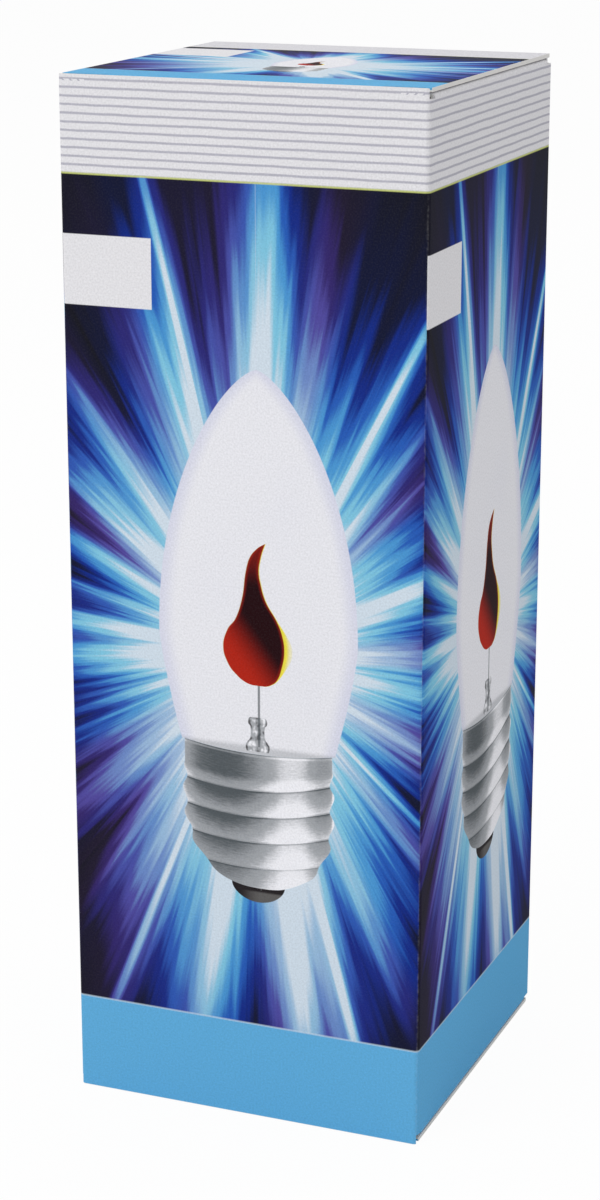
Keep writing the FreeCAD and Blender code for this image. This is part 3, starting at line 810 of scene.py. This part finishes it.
@dataclass(frozen=True)
class BoardFinish(Finish):
    """Folding board: print on its coated side, bare fibres on the other side and at the cuts."""

    size: CartonSize
    effects: PrintEffects
    inks: Inks = Inks()
    bleed: float = 2.4
    rub: float = 0.1
    open_share: float = 0.012
    grain_scale: float = 5.0
    grain_depth: float = 0.5

    def printed(self, place: Signal) -> tuple[Signal, Signal, Signal]:
        """The print's colour, where the board is printed, and where its folds are rubbed."""
        raise NotImplementedError

    def color(self, shade: Shade) -> Signal:
        """The print with its grain and rubbed folds, over the bare board."""
        place = shade.millimetres()
        print_color, mask, folds = self.printed(place)
        rubbed = folds * place.noise(0.9, 3.0, 0.7).rise(0.35, 0.8) * self.rub
        open_dots = place.noise(6.0, 2.0).rise(0.4, 0.8) * self.open_share
        tone = shade.use(self.effects.grain, place=place, scale=self.grain_scale, depth=self.grain_depth)
        worn = (rubbed + open_dots).blend(print_color.scaled(tone), self.inks.coated)
        return mask.blend(self.bare_board(place), worn)

    def bare_board(self, place: Signal) -> Signal:
        """Uncoated board with fibres and a few specks."""
        fibres = place.noise(2.2, 4.0, 0.7)
        base = (fibres * 0.5 + place.noise(0.35, 2.0) * 0.3).blend(self.inks.core, self.inks.coated)
        nearest = place.shade.put("TexVoronoi", {"Vector": place, "Scale": 0.9}, "Distance")
        return ((1.0 - nearest.rise(0.05, 0.1)) * 0.25).blend(base, self.inks.speck)

    def normal(self, shade: Shade) -> Signal:
        """Fibres and a slow wave in the board."""
        place = shade.millimetres()
        return (place.noise(4.5, 4.0, 0.65) + place.noise(0.06, 1.0) * 3.0).bump(0.5, 0.012)


@dataclass(frozen=True)
class SleevePrint(BoardFinish):
    """The four walls, each with the same design, and the plain flaps with a little bleed.

    Edges are where the print starts, in millimetres: in from the round of a crease for the skin, from
    a wall's end for the cut, and out from the flat of a face for the fold.
    """

    flap_levels: Point = (0.45, 0.62)
    skin_edges: Point = (0.22, 0.18)
    cut_edges: Point = (0.02, 0.04)
    fold_edges: Point = (0.22, 0.32)

    def printed(self, place: Signal) -> tuple[Signal, Signal, Signal]:
        """The walls' print.

        Args:
            place: The place on the sleeve in millimetres.

        Returns:
            The print's colour, where the board is printed, and where its folds are rubbed.
        """
        size, shade = self.size, place.shade
        x, y, z = place.parts()
        on_side = abs(x) > abs(y)
        heading = on_side.choose(0.0 - shade.math("SIGN", y), shade.math("SIGN", x))
        across = size.half + heading * on_side.choose(x, y)
        end = z.at_most(size.height - z)
        flap = (end < self.flap_levels[1]) * (end > self.flap_levels[0])
        bleed = flap * (abs(x) > size.straight - self.bleed)
        up = z + bleed * (size.straight - abs(x)).at_least(0.0)
        color = shade.use(
            self.effects.design, across=across, up=up, label_bottom=self.effects.layout.label_bottom)
        out_x = (abs(x) - size.straight).at_least(0.0)
        out_y = (abs(y) - size.straight).at_least(0.0)
        skin = shade.length(out_x, out_y).rise(*(size.crease - edge for edge in self.skin_edges))
        mask = (skin * end.rise(*self.cut_edges)).at_least(bleed)
        return color, mask, out_x.at_most(out_y).rise(*self.fold_edges)


class Lid(Enum):
    """The two lids, by their nodes."""

    TOP = "top_lid"
    BOTTOM = "bottom_lid"


@dataclass(frozen=True)
class LidPrint(BoardFinish):
    """A lid: the whole design drawn short on the top one, a plain field on the bottom one.

    On the top lid the bands keep a good width, and the rest of the design is drawn short between them.
    """

    lid: Lid = Lid.TOP
    foot_depth: float = 5.6
    head_depth: float = 7.3
    aside: float = 1.2
    label_bottom: float = 66.0
    lamp_share: float = 0.38
    field_drift: float = 1.06
    tongue_gap: float = 0.2
    cut_edge: float = 0.03
    fold_rub: float = 0.5

    def up(self, depth: Signal) -> Signal:
        """The design's level for a depth from the lid's front edge.

        Args:
            depth: Millimetres from the front face.

        Returns:
            Millimetres from the design's lower edge.
        """
        layout = self.effects.layout
        middle_depth = self.size.width - self.foot_depth - self.head_depth
        in_foot = depth.at_most(self.foot_depth) * (layout.foot_top / self.foot_depth)
        in_middle = (depth - self.foot_depth).at_least(0.0).at_most(middle_depth)
        in_middle = in_middle * ((layout.head_bottom - layout.foot_top) / middle_depth)
        in_head = (depth - self.foot_depth - middle_depth).at_least(0.0)
        return in_foot + in_middle + in_head * ((self.size.height - layout.head_bottom) / self.head_depth)

    def field(self, place: Signal, x: Signal, y: Signal) -> Signal:
        """The lid's colour.

        Args:
            place: The place on the lid in millimetres.
            x: Its distance to the right of the middle.
            y: Its distance behind the middle.

        Returns:
            The colour.
        """
        if self.lid is Lid.TOP:
            return place.shade.use(
                self.effects.design, across=self.size.half + self.aside + x, up=self.up(self.size.half + y),
                label_bottom=self.label_bottom, lamp_share=self.lamp_share)
        band = self.inks.foot_band
        return place.noise(0.12, 1.0).blend(band, tuple(part * self.field_drift for part in band))

    def printed(self, place: Signal) -> tuple[Signal, Signal, Signal]:
        """The lid's print.

        Args:
            place: The place on the lid in millimetres.

        Returns:
            The print's colour, where the board is printed, and where its folds are rubbed.
        """
        size = self.size
        x, y, z = place.parts()
        end = size.height - z if self.lid is Lid.TOP else z
        hinge_y = size.half - size.hinge_inset
        tongue_level = hinge_y + size.half - size.board - self.tongue_gap - size.board / 2
        lid_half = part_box(self.lid.value)[1].x / MM
        swing = place.shade.length(y - hinge_y, end - size.hinge_inset)
        face = (end < size.board / 2) * (abs(x) < lid_half - self.cut_edge)
        tongue = (swing > tongue_level) * (end < size.crease + self.bleed)
        rear = (y > size.straight) * (end < size.crease)
        mask = face.at_least(tongue.at_least(rear))
        return self.field(place, x, y), mask, rear.at_least(y < -size.straight) * self.fold_rub


@dataclass(frozen=True)
class Carton:
    """The board pieces, which keep their folded form. Edges are millimetres left free in the map."""

    nodes: dict
    size: CartonSize
    gloss: Gloss = Gloss(roughness=0.5, specular=0.01)
    map_name: str = "OFBake"
    outer_edge: float = 0.5
    inner_edge: float = 1.5

    def build(self) -> None:
        """Lay out and dress the sleeve, and dress both lids."""
        effects = PrintEffects(Design())
        self.sleeve(SleevePrint("printed_sleeve", self.gloss, self.size, effects).material())
        for lid in Lid:
            finish = LidPrint("printed_" + lid.value, self.gloss, self.size, effects, lid=lid)
            dress(self.nodes[lid.value], finish.material())

    def sleeve(self, material: bpy.types.Material) -> None:
        """The sleeve in its own form, with a map that gives its printed walls the most room.

        Args:
            material: The sleeve's finish.
        """
        piece = bpy.data.objects.new("folded_sleeve", self.nodes["carton_sleeve"].data.copy())
        bpy.context.scene.collection.objects.link(piece)
        self.lay_out(piece)
        dress(piece, material)
        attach(piece, "carton")
        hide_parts("carton_sleeve")

    def lay_out(self, piece: bpy.types.Object) -> None:
        """Lay the outer walls along the top of the map, the inner walls and the rest below them.

        Args:
            piece: The sleeve.
        """
        mesh = piece.data
        mesh.uv_layers.active = mesh.uv_layers.new(name=self.map_name)
        outer = self.skin(mesh, self.size.half, slack=0.2)
        inner = self.skin(mesh, self.size.half - self.size.board, slack=0.05)
        for face in mesh.polygons:
            face.select = face.index not in outer and face.index not in inner
        bpy.context.view_layer.objects.active = piece
        bpy.context.tool_settings.mesh_select_mode = (False, False, True)
        bpy.ops.object.mode_set(mode="EDIT")
        bpy.ops.uv.smart_project(island_margin=0.01)
        bpy.ops.object.mode_set(mode="OBJECT")
        around = 4.0 * self.size.width
        outer_scale = 1.0 / (around + 2.0 * self.outer_edge)
        room = 1.0 - (self.size.height + 2.0 * self.outer_edge) * outer_scale
        inner_scale = room / (self.size.height + 2.0 * self.inner_edge)
        beside = (around + 2.0 * self.inner_edge) * inner_scale
        for corner in mesh.uv_layers[self.map_name].data:
            corner.uv = (beside + corner.uv.x * (1.0 - beside), corner.uv.y * room)
        self.lay_walls(mesh, outer, self.outer_edge, outer_scale, room)
        self.lay_walls(mesh, inner, self.inner_edge, inner_scale, 0.0)

    def lay_walls(
        self, mesh: bpy.types.Mesh, faces: set[int], edge: float, scale: float, bottom: float
    ) -> None:
        """Lay one skin of the walls flat, from the front wall's left edge round the carton.

        Args:
            mesh: The sleeve's mesh.
            faces: The skin's faces.
            edge: Millimetres left free round the skin.
            scale: The map's length for a millimetre.
            bottom: The level in the map where the skin's room starts.
        """
        places = mesh.uv_layers[self.map_name].data
        for index in faces:
            corners = mesh.polygons[index].loop_indices
            points = [mesh.vertices[mesh.loops[corner].vertex_index].co / MM for corner in corners]
            steps = [self.round_the_walls(point) for point in points]
            wraps = max(steps) - min(steps) > 1.5 * self.size.width
            for corner, point, step in zip(corners, points, steps):
                turn = 4.0 * self.size.width if wraps and step < self.size.width else 0.0
                places[corner].uv = ((step + turn + edge) * scale, bottom + (point.z + edge) * scale)

    def skin(self, mesh: bpy.types.Mesh, level: float, slack: float) -> set[int]:
        """The faces of one skin of the walls.

        Args:
            mesh: The sleeve's mesh.
            level: The skin's distance from the carton's axis.
            slack: How far a corner may lie off it.

        Returns:
            The faces' numbers.
        """
        levels = [self.out_from_axis(corner.co / MM) for corner in mesh.vertices]
        return {
            face.index for face in mesh.polygons
            if max(abs(levels[corner] - level) for corner in face.vertices) < slack}

    def out_from_axis(self, point: Vector) -> float:
        """How far out a point lies, measured as the walls and their round creases lie."""
        straight = self.size.straight
        return straight + math.hypot(max(abs(point.x) - straight, 0.0), max(abs(point.y) - straight, 0.0))

    def round_the_walls(self, point: Vector) -> float:
        """How far round the walls a point lies, from the front wall's left edge.

        Args:
            point: The point in millimetres.

        Returns:
            The distance in millimetres.
        """
        if abs(point.x) > abs(point.y):
            wall, across = (1, point.y) if point.x > 0.0 else (3, -point.y)
        else:
            wall, across = (0, point.x) if point.y < 0.0 else (2, -point.x)
        return wall * self.size.width + self.size.half + across


@dataclass(frozen=True)
class Arc:
    """One run of an outline: an arc about a centre, with its radius and its first and last angle."""

    centre: Point
    radius: float
    start: float
    end: float

    def points(self, step: float) -> list[Point]:
        """Points along the arc, both ends included.

        Args:
            step: The largest turn from one point to the next, in degrees.

        Returns:
            The points.
        """
        count = max(2, math.ceil(abs(self.end - self.start) / step))
        turns = [math.radians(self.start + (self.end - self.start) * i / count) for i in range(count + 1)]
        x, z = self.centre
        return [(x + self.radius * math.cos(turn), z + self.radius * math.sin(turn)) for turn in turns]


def smooth_step(value: float, low: float, high: float) -> float:
    """Zero at low and below, one at high and above, with a smooth rise between."""
    share = min(max((value - low) / (high - low), 0.0), 1.0)
    return share * share * (3.0 - 2.0 * share)


def turned_mesh(name: str, outline_at: Section, segments: int, sharp: float = 40.0) -> bpy.types.Mesh:
    """A closed mesh turned about the Z axis, whose section may change as it goes round.

    Args:
        name: The mesh's name.
        outline_at: Gives the section at a turn in radians, as distance from the axis and height in
            millimetres, always with as many points. A point on the axis becomes one vertex.
        segments: How many steps go round.
        sharp: The angle in degrees from which an edge stays sharp.

    Returns:
        The mesh, in metres.
    """
    build = bmesh.new()
    rings = []
    poles = {}
    for step in range(segments):
        turn = 2.0 * math.pi * step / segments
        ring = []
        for index, (out, height) in enumerate(outline_at(turn)):
            if index in poles:
                ring.append(poles[index])
                continue
            place = Vector((out * math.cos(turn), out * math.sin(turn), height)) * MM
            ring.append(build.verts.new(place))
            if out < ON_AXIS:
                poles[index] = ring[-1]
        rings.append(ring)
    for here, ahead in zip(rings, rings[1:] + rings[:1]):
        for index in range(len(here)):
            following = (index + 1) % len(here)
            corners = list(dict.fromkeys([here[index], ahead[index], ahead[following], here[following]]))
            if len(corners) > 2:
                build.faces.new(corners)
    bmesh.ops.recalc_face_normals(build, faces=build.faces)
    for face in build.faces:
        face.smooth = True
    for edge in build.edges:
        edge.smooth = len(edge.link_faces) == 2 and edge.calc_face_angle(0.0) < math.radians(sharp)
    mesh = bpy.data.meshes.new(name)
    build.to_mesh(mesh)
    build.free()
    return mesh


@dataclass(frozen=True)
class Grain:
    """Smooth noise: its swells in a millimetre across the piece, and along Z where that differs."""

    across: float
    detail: float = 2.0
    roughness: float = 0.5
    along: float = 0.0

    def over(self, shade: Shade) -> Signal:
        """The noise over the piece, from 0 to 1 round 0.5."""
        scale = (self.across, self.across, self.along or self.across)
        place = shade.vector_math("MULTIPLY", shade.millimetres(), scale)
        return place.noise(1.0, self.detail, self.roughness)


@dataclass(frozen=True)
class Layer:
    """A colour that lies over a finish as its grain has it, in patches where it has edges."""

    color: Color
    grain: Grain
    strength: float = 1.0
    edges: Union[Point, None] = None

    def over(self, shade: Shade, below: Input) -> Signal:
        """The colour over the one below it."""
        amount = self.grain.over(shade).rise(*self.edges) if self.edges else self.grain.over(shade)
        return (amount * self.strength).blend(below, self.color)


@dataclass(frozen=True)
class LampFinish(Finish):
    """A colour under layers, with a relief of grains and, where given, a roughness that drifts.

    The relief's grains have their heights as shares of its depth, which is in millimetres.
    """

    base: Color
    layers: tuple[Layer, ...]
    relief: tuple[tuple[Grain, float], ...]
    strength: float
    depth: float
    drift: Union[Grain, None] = None
    smoothest: float = 0.12
    drift_range: float = 0.3

    def layered(self, shade: Shade, below: Input) -> Signal:
        """A colour with the layers over it."""
        for layer in self.layers:
            below = layer.over(shade, below)
        return below

    def color(self, shade: Shade) -> Signal:
        """The base under its layers."""
        return self.layered(shade, self.base)

    def normal(self, shade: Shade) -> Signal:
        """The normal over the relief."""
        height = 0.0
        for grain, share in self.relief:
            height = grain.over(shade) * share + height
        return height.bump(self.strength, self.depth)

    def roughness(self, shade: Shade) -> Level:
        """The drifting roughness, or the constant one."""
        if not self.drift:
            return self.gloss.roughness
        return self.drift.over(shade) * self.drift_range + self.smoothest


@dataclass(frozen=True)
class FlameCoating(LampFinish):
    """The oxide coating of a flame plate, partly painted glow, which turns from one colour low on the left
    to another above.
    """

    node: str = "front_flame_plate"
    high_color: Color = paint(44, 22, 24)
    lean: float = 1.2
    cloudiness: float = 0.4
    turn_edges: Point = (0.5, 1.5)

    def color(self, shade: Shade) -> Signal:
        """The two colours with the layers over them."""
        low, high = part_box(self.node)
        place = shade.millimetres()
        x, _, z = place.parts()
        across = (x - low.x / MM) / ((high.x - low.x) / MM)
        climb = (z - low.z / MM) / ((high.z - low.z) / MM)
        cloud = place.noise(0.5, 3.0) - 0.5
        # Painted glow: the first colour, low on the left, stands in for a lit lamp's neon glow.
        turned = (across * self.lean + climb * self.lean + cloud * self.cloudiness).rise(*self.turn_edges)
        return self.layered(shade, turned.blend(self.base, self.high_color))


@dataclass(frozen=True)
class RingedLacquer(LampFinish):
    """The resistor's lacquer with plain colour rings, each at a share of the body's length."""

    half_ring: float = 0.045
    ring_edge: float = 0.008
    rings: tuple[tuple[float, Color], ...] = (
        (0.2, paint(110, 66, 40)), (0.36, paint(40, 36, 36)), (0.52, paint(196, 150, 40)),
        (0.8, paint(186, 150, 70)))

    def color(self, shade: Shade) -> Signal:
        """The lacquer with its rings."""
        low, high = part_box("resistor")
        _, _, z = shade.millimetres().parts()
        climb = (z - low.z / MM) / ((high.z - low.z) / MM)
        lacquer = self.layered(shade, self.base)
        for middle, ink in self.rings:
            ring = climb.within(middle - self.half_ring, middle + self.half_ring, self.ring_edge)
            lacquer = ring.blend(lacquer, ink)
        return lacquer


def plated_metal(name: str, streak: float) -> LampFinish:
    """Bright plated metal, faintly drawn round the axis, with dull spots.

    Args:
        name: The material's name.
        streak: How many drawn lines a millimetre holds.

    Returns:
        The finish.
    """
    return LampFinish(
        name, Gloss(0.3, metallic=1.0), paint(176, 178, 182),
        layers=(
            Layer(paint(222, 223, 226), Grain(0.2, 3.0, along=streak)),
            Layer(paint(140, 138, 134), Grain(0.7, 3.0), 0.3, (0.55, 0.75))),
        relief=((Grain(0.3, along=3.0 * streak), 1.0),), strength=0.35, depth=0.02, drift=Grain(0.6, 3.0))


CLEAR_GLASS = LampFinish(
    "blown_glass", Gloss(0.015, transmission=1.0, ior=1.5), paint(244, 248, 250),
    layers=(Layer(paint(250, 251, 253), Grain(0.08)),),
    relief=((Grain(0.12), 1.0), (Grain(0.9, 1.0), 0.1)), strength=0.3, depth=0.15)

BRASS = LampFinish(
    "pressed_brass", Gloss(0.3, metallic=1.0), paint(214, 178, 104),
    layers=(Layer(paint(140, 104, 62), Grain(0.8, 4.0), 0.7, (0.45, 0.7)),),
    relief=((Grain(3.0, 3.0), 1.0),), strength=0.3, depth=0.02, drift=Grain(0.8, 3.0), smoothest=0.18)

NICKEL_WIRE = LampFinish(
    "drawn_wire", Gloss(0.32, metallic=1.0), paint(150, 148, 146),
    layers=(Layer(paint(206, 205, 204), Grain(1.4, 3.0)),),
    relief=((Grain(12.0, along=0.3), 1.0),), strength=0.4, depth=0.01)

CEMENT = LampFinish(
    "baked_cement", Gloss(0.85, specular=0.3), paint(192, 182, 160),
    layers=(Layer(paint(226, 220, 206), Grain(1.2, 4.0, 0.7)),),
    relief=((Grain(3.5, 4.0, 0.7), 1.0),), strength=0.8, depth=0.08)

BLACK_GLASS = LampFinish(
    "black_glass", Gloss(0.12, coat=0.3, coat_roughness=0.05), paint(22, 20, 24),
    layers=(Layer(paint(52, 46, 54), Grain(0.8, 3.0)),),
    relief=((Grain(0.5), 1.0),), strength=0.4, depth=0.1)

# Painted glow: the orange-red low on the left stands in for the neon glow of a lit lamp; the dark above is
# the plate's own coating.
RED_PAINTED_GLOW_COATING = FlameCoating(
    "coating_with_painted_red_glow", Gloss(0.72, specular=0.35), paint(188, 58, 30),
    layers=(Layer(paint(96, 60, 48), Grain(7.0, 3.0), 0.3, (0.5, 0.75)),),
    relief=((Grain(8.0, 3.0), 1.0),), strength=0.7, depth=0.04)

# Painted glow: the rear plate is yellow all over to stand in for the glow at its edge in a lit lamp.
YELLOW_PAINTED_GLOW = replace(
    RED_PAINTED_GLOW_COATING, name="painted_yellow_glow", node="rear_flame_plate", base=paint(232, 204, 66),
    high_color=paint(196, 146, 48))

LACQUER = RingedLacquer(
    "lacquered_resistor", Gloss(0.4, coat=0.3), paint(196, 164, 124),
    layers=(Layer(paint(216, 190, 152), Grain(1.6, 3.0)),),
    relief=((Grain(2.0, 3.0), 1.0),), strength=0.4, depth=0.03)


@dataclass(frozen=True)
class CandleLamp:
    """The clear candle lamp in the carton. Sizes are millimetres, heights from the carton's foot."""

    nodes: dict
    body: str = "carton"
    neck_radius: float = 11.3
    neck_level: float = 23.02
    neck_blend: float = 10.0
    belly_radius: float = 110.0
    belly_rise: float = 20.0
    ogive_radius: float = 60.0
    tip_radius: float = 3.5
    wall: float = 0.8
    shell_sheet: float = 0.3
    sheet_foot: float = 0.09
    bowl_inset: float = 3.5
    bowl_power: float = 0.8
    thread_pitch: float = 3.62
    thread_depth: float = 0.95
    thread_power: float = 0.9
    thread_bottom: float = 10.4
    thread_top: float = 25.4
    run_in: float = 1.6
    run_out: float = 1.4
    cement_length: float = 6.0
    cement_seat: float = 0.01
    cement_gap: float = 0.02
    large_arc: float = 20.0
    large_step: float = 1.2
    small_step: float = 5.0
    segments: int = 144
    shell_levels: int = 96
    cement_levels: int = 24

    def build(self) -> None:
        """Build the turned pieces and dress the rest."""
        self.envelope()
        shell_metal = plated_metal("rolled_cap_metal", 3.0)
        self.add("threaded_cap", self.shell_section, shell_metal, "cap_shell", "cap_metal")
        self.add("cast_cement", self.cement_section, CEMENT, "cap_cement", "cap_cement")
        dressed = (
            (replace(CLEAR_GLASS, name="stem_glass"), ("glass_stem",)),
            (RED_PAINTED_GLOW_COATING, ("front_flame_plate",)),
            (YELLOW_PAINTED_GLOW, ("rear_flame_plate",)),
            (NICKEL_WIRE, ("shell_lead", "resistor_lead", "contact_lead")),
            (LACQUER, ("resistor",)),
            (BLACK_GLASS, ("cap_insulator",)),
            (BRASS, ("centre_contact",)),
            (plated_metal("soft_solder", 0.8), ("contact_solder",)),
        )
        for finish, names in dressed:
            material = finish.material()
            for name in names:
                dress(self.nodes[name], material)

    def add(self, name: str, outline_at: Section, finish: Finish, node: str, slot: str) -> None:
        """Put a turned piece in its node's place and on its body.

        Args:
            name: The piece's name.
            outline_at: Gives its section at a turn in radians.
            finish: Its finish.
            node: The node that it stands for.
            slot: The record's material slot, not used.
        """
        piece = bpy.data.objects.new(name, turned_mesh(name, outline_at, self.segments))
        bpy.context.scene.collection.objects.link(piece)
        dress(piece, finish.material())
        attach(piece, self.body)
        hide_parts(node)

    def outer_arcs(self) -> list[Arc]:
        """The arcs of the envelope's outer face from the neck to the tip.

        Returns:
            The arcs, in order.
        """
        _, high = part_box("glass_envelope")
        widest, top = high.x / MM, high.z / MM
        belly_angle = math.asin(self.belly_rise / self.belly_radius)
        past_ogive = self.belly_radius - self.ogive_radius
        past_tip = self.ogive_radius - self.tip_radius
        ogive_x = widest - self.belly_radius + past_ogive * math.cos(belly_angle)
        tip_angle = math.acos(-ogive_x / past_tip)
        ogive_z = top - self.tip_radius - past_tip * math.sin(tip_angle)
        middle = ogive_z - past_ogive * math.sin(belly_angle)
        blend_x = self.neck_radius + self.neck_blend
        out, down = blend_x - widest, middle - self.neck_level
        lower = (out ** 2 + down ** 2 - self.neck_blend ** 2) / (2.0 * (self.neck_blend - out))
        blend_angle = math.degrees(math.atan2(down, out + lower))
        belly_turn, tip_turn = math.degrees(belly_angle), math.degrees(tip_angle)
        return [
            Arc((blend_x, self.neck_level), -self.neck_blend, 0.0, -blend_angle),
            Arc((widest - lower, middle), lower, -blend_angle, 0.0),
            Arc((widest - self.belly_radius, middle), self.belly_radius, 0.0, belly_turn),
            Arc((ogive_x, ogive_z), self.ogive_radius, belly_turn, tip_turn),
            Arc((0.0, top - self.tip_radius), self.tip_radius, tip_turn, 90.0),
        ]

    def envelope(self) -> None:
        """The blown glass with its wall, open at the neck's foot."""
        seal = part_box("glass_envelope")[0].z / MM
        outer: list[Point] = [(self.neck_radius, seal)]
        for arc in self.outer_arcs():
            step = self.large_step if arc.radius > self.large_arc else self.small_step
            outer.extend(arc.points(step)[1 if len(outer) > 1 else 0:])
        outer[-1] = (0.0, outer[-1][1])
        inner = [(self.neck_radius - self.wall, seal)]
        for before, point, after in zip(outer, outer[1:], outer[2:]):
            along = Vector((after[0] - before[0], after[1] - before[1])).normalized()
            inner.append((point[0] - along.y * self.wall, point[1] + along.x * self.wall))
        outline = outer + [(0.0, outer[-1][1] - self.wall)] + inner[::-1]
        self.add("blown_envelope", lambda turn: outline, CLEAR_GLASS, "glass_envelope", "clear_glass")

    @cached_property
    def shell_box(self) -> tuple[Vector, Vector]:
        """The box of the frame's shell, in metres."""
        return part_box("cap_shell")

    def shell_radius(self, height: float, turn: float) -> float:
        """How far the shell's outer face is from the axis.

        Args:
            height: The level of the point.
            turn: Its turn round the axis in radians.

        Returns:
            The distance from the axis.
        """
        low, high = self.shell_box
        bottom, crest = low.z / MM, high.x / MM
        starting = smooth_step(height, self.thread_bottom, self.thread_bottom + self.run_in)
        ending = smooth_step(height, self.thread_top - self.run_out, self.thread_top)
        wave = 0.5 - 0.5 * math.cos(2.0 * math.pi * height / self.thread_pitch - turn)
        plain = crest - self.thread_depth * starting * (1.0 - ending) * wave ** self.thread_power
        if height >= self.thread_bottom:
            return plain
        share = (height - bottom) / (self.thread_bottom - bottom)
        foot = crest - self.bowl_inset
        return foot + (plain - foot) * math.sin(share * math.pi / 2.0) ** self.bowl_power

    def shell_section(self, turn: float) -> list[Point]:
        """The rolled shell's section: a straight lip, a round thread and a bowl at the foot.

        Args:
            turn: The turn round the axis in radians.

        Returns:
            The outline.
        """
        low, high = self.shell_box
        bottom, top = low.z / MM, high.z / MM
        levels = [bottom + (top - bottom) * i / self.shell_levels for i in range(self.shell_levels + 1)]
        outer = [(self.shell_radius(level, turn), level) for level in levels]
        inner = [(out - self.shell_sheet, max(level, bottom + self.sheet_foot)) for out, level in outer]
        return outer + inner[::-1]

    def cement_section(self, turn: float) -> list[Point]:
        """The cement's section between the neck and the shell, cast into the inside of its thread.

        Args:
            turn: The turn round the axis in radians.

        Returns:
            The outline.
        """
        count = self.cement_levels
        levels = [self.neck_level - self.cement_length * i / count for i in range(count + 1)]
        inset = self.shell_sheet + self.cement_gap
        outer = [(self.shell_radius(level, turn) - inset, level) for level in levels]
        neck = self.neck_radius + self.cement_seat
        return outer + [(neck, levels[-1]), (neck, levels[0])]


@dataclass(frozen=True)
class SoftLamp:
    """A square soft lamp that faces the carton: its place and breadth in metres, its power in watts."""

    name: str
    place: Color
    breadth: float
    power: float


@dataclass(frozen=True)
class Studio:
    """A plain pale floor, a white surround, soft lamps and the camera.

    The camera's distances are in face widths from the middle of the carton.
    """

    size: CartonSize
    azimuth: float = 21.89
    elevation: float = 16.43
    distance: float = 7.634
    aside: float = -0.036
    over: float = -0.065
    lens: float = 82.78
    floor_size: float = 6.0
    floor_color: Color = (0.9, 0.9, 0.91)
    white: Color = (1.0, 1.0, 1.0)
    floor_white: float = 0.96
    world_light: float = 0.52
    lamps: tuple[SoftLamp, ...] = (
        SoftLamp("key_lamp", (-0.42, -0.75, 0.62), 0.5, 3.8),
        SoftLamp("fill_lamp", (0.75, -0.35, 0.4), 0.5, 0.6),
        SoftLamp("top_lamp", (0.0, 0.12, 0.8), 0.4, 1.32),
    )

    @property
    def middle(self) -> Vector:
        """The middle of the carton, in metres."""
        return Vector((0.0, 0.0, self.size.height * MM / 2))

    def build(self) -> None:
        """Set the floor, the light and the camera."""
        self.floor()
        self.world()
        for lamp in self.lamps:
            self.light(lamp)
        self.camera()

    def seen_white(self, shade: Shade) -> Signal:
        """One for the rays that show the background: from the camera, a reflection or through glass."""
        camera, glossy, through = (
            shade.put("LightPath", {}, f"Is {kind} Ray") for kind in ("Camera", "Glossy", "Transmission"))
        return camera.at_least(glossy).at_least(through)

    def floor(self) -> None:
        """A wide pale floor that shows white and keeps a faint shadow."""
        bpy.ops.mesh.primitive_plane_add(size=self.floor_size, location=(0.0, 0.0, 0.0))
        floor = bpy.context.object
        floor.name = "floor"
        material = bpy.data.materials.new("pale_floor")
        material.use_nodes = True
        material.node_tree.nodes.clear()
        shade = Shade(material.node_tree)
        matt = shade.put("BsdfDiffuse", {"Color": self.floor_color})
        glow = shade.put("Emission", {"Color": self.white})
        mixed = shade.put("MixShader", {0: self.seen_white(shade) * self.floor_white, 1: matt, 2: glow})
        shade.feed(shade.node("OutputMaterial").inputs["Surface"], mixed)
        floor.data.materials.append(material)

    def world(self) -> None:
        """An even surround that lights softly and shows white."""
        world = bpy.data.worlds.new("studio")
        bpy.context.scene.world = world
        world.use_nodes = True
        world.node_tree.nodes.clear()
        shade = Shade(world.node_tree)
        strength = self.seen_white(shade).choose(self.world_light, 1.0)
        around = shade.put("Background", {"Color": self.white, "Strength": strength})
        shade.feed(shade.node("OutputWorld").inputs["Surface"], around)

    def place(self, name: str, data: bpy.types.ID, place: Vector, back: Vector) -> bpy.types.Object:
        """Put a lamp or the camera in the scene.

        Args:
            name: Its name.
            data: The lamp's or the camera's data.
            place: Where it stands, in metres.
            back: The direction that its back faces.

        Returns:
            The lamp or the camera.
        """
        piece = bpy.data.objects.new(name, data)
        piece.location = place
        piece.rotation_euler = (-back).to_track_quat("-Z", "Y").to_euler()
        bpy.context.scene.collection.objects.link(piece)
        return piece

    def light(self, lamp: SoftLamp) -> None:
        """Put up one soft lamp."""
        data = bpy.data.lights.new(lamp.name, "AREA")
        data.shape = "SQUARE"
        data.size = lamp.breadth
        data.energy = lamp.power
        self.place(lamp.name, data, Vector(lamp.place), Vector(lamp.place) - self.middle)

    def camera(self) -> None:
        """Set the photograph's view."""
        turn = math.radians(self.azimuth)
        tip = math.radians(self.elevation)
        back = Vector((math.sin(turn) * math.cos(tip), -math.cos(turn) * math.cos(tip), math.sin(tip)))
        right = Vector((math.cos(turn), math.sin(turn), 0.0))
        up = back.cross(right)
        from_middle = (back * self.distance + right * self.aside + up * self.over) * self.size.width * MM
        data = bpy.data.cameras.new("view")
        data.lens = self.lens
        data.clip_start = 0.01
        bpy.context.scene.camera = self.place("view", data, self.middle + from_middle, back)


def main() -> None:
    """Load the frame, dress every piece and set the studio."""
    logging.basicConfig(level=logging.INFO)
    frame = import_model()
    _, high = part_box("carton_sleeve")
    size = CartonSize(half=high.x / MM, height=high.z / MM)
    Carton(frame["nodes"], size).build()
    CandleLamp(frame["nodes"]).build()
    Studio(size).build()
    bpy.context.scene.view_settings.view_transform = "Standard"
    log.info("the carton is %.1f mm wide and %.1f mm tall", size.width, size.height)


if __name__ == "__main__":
    main()
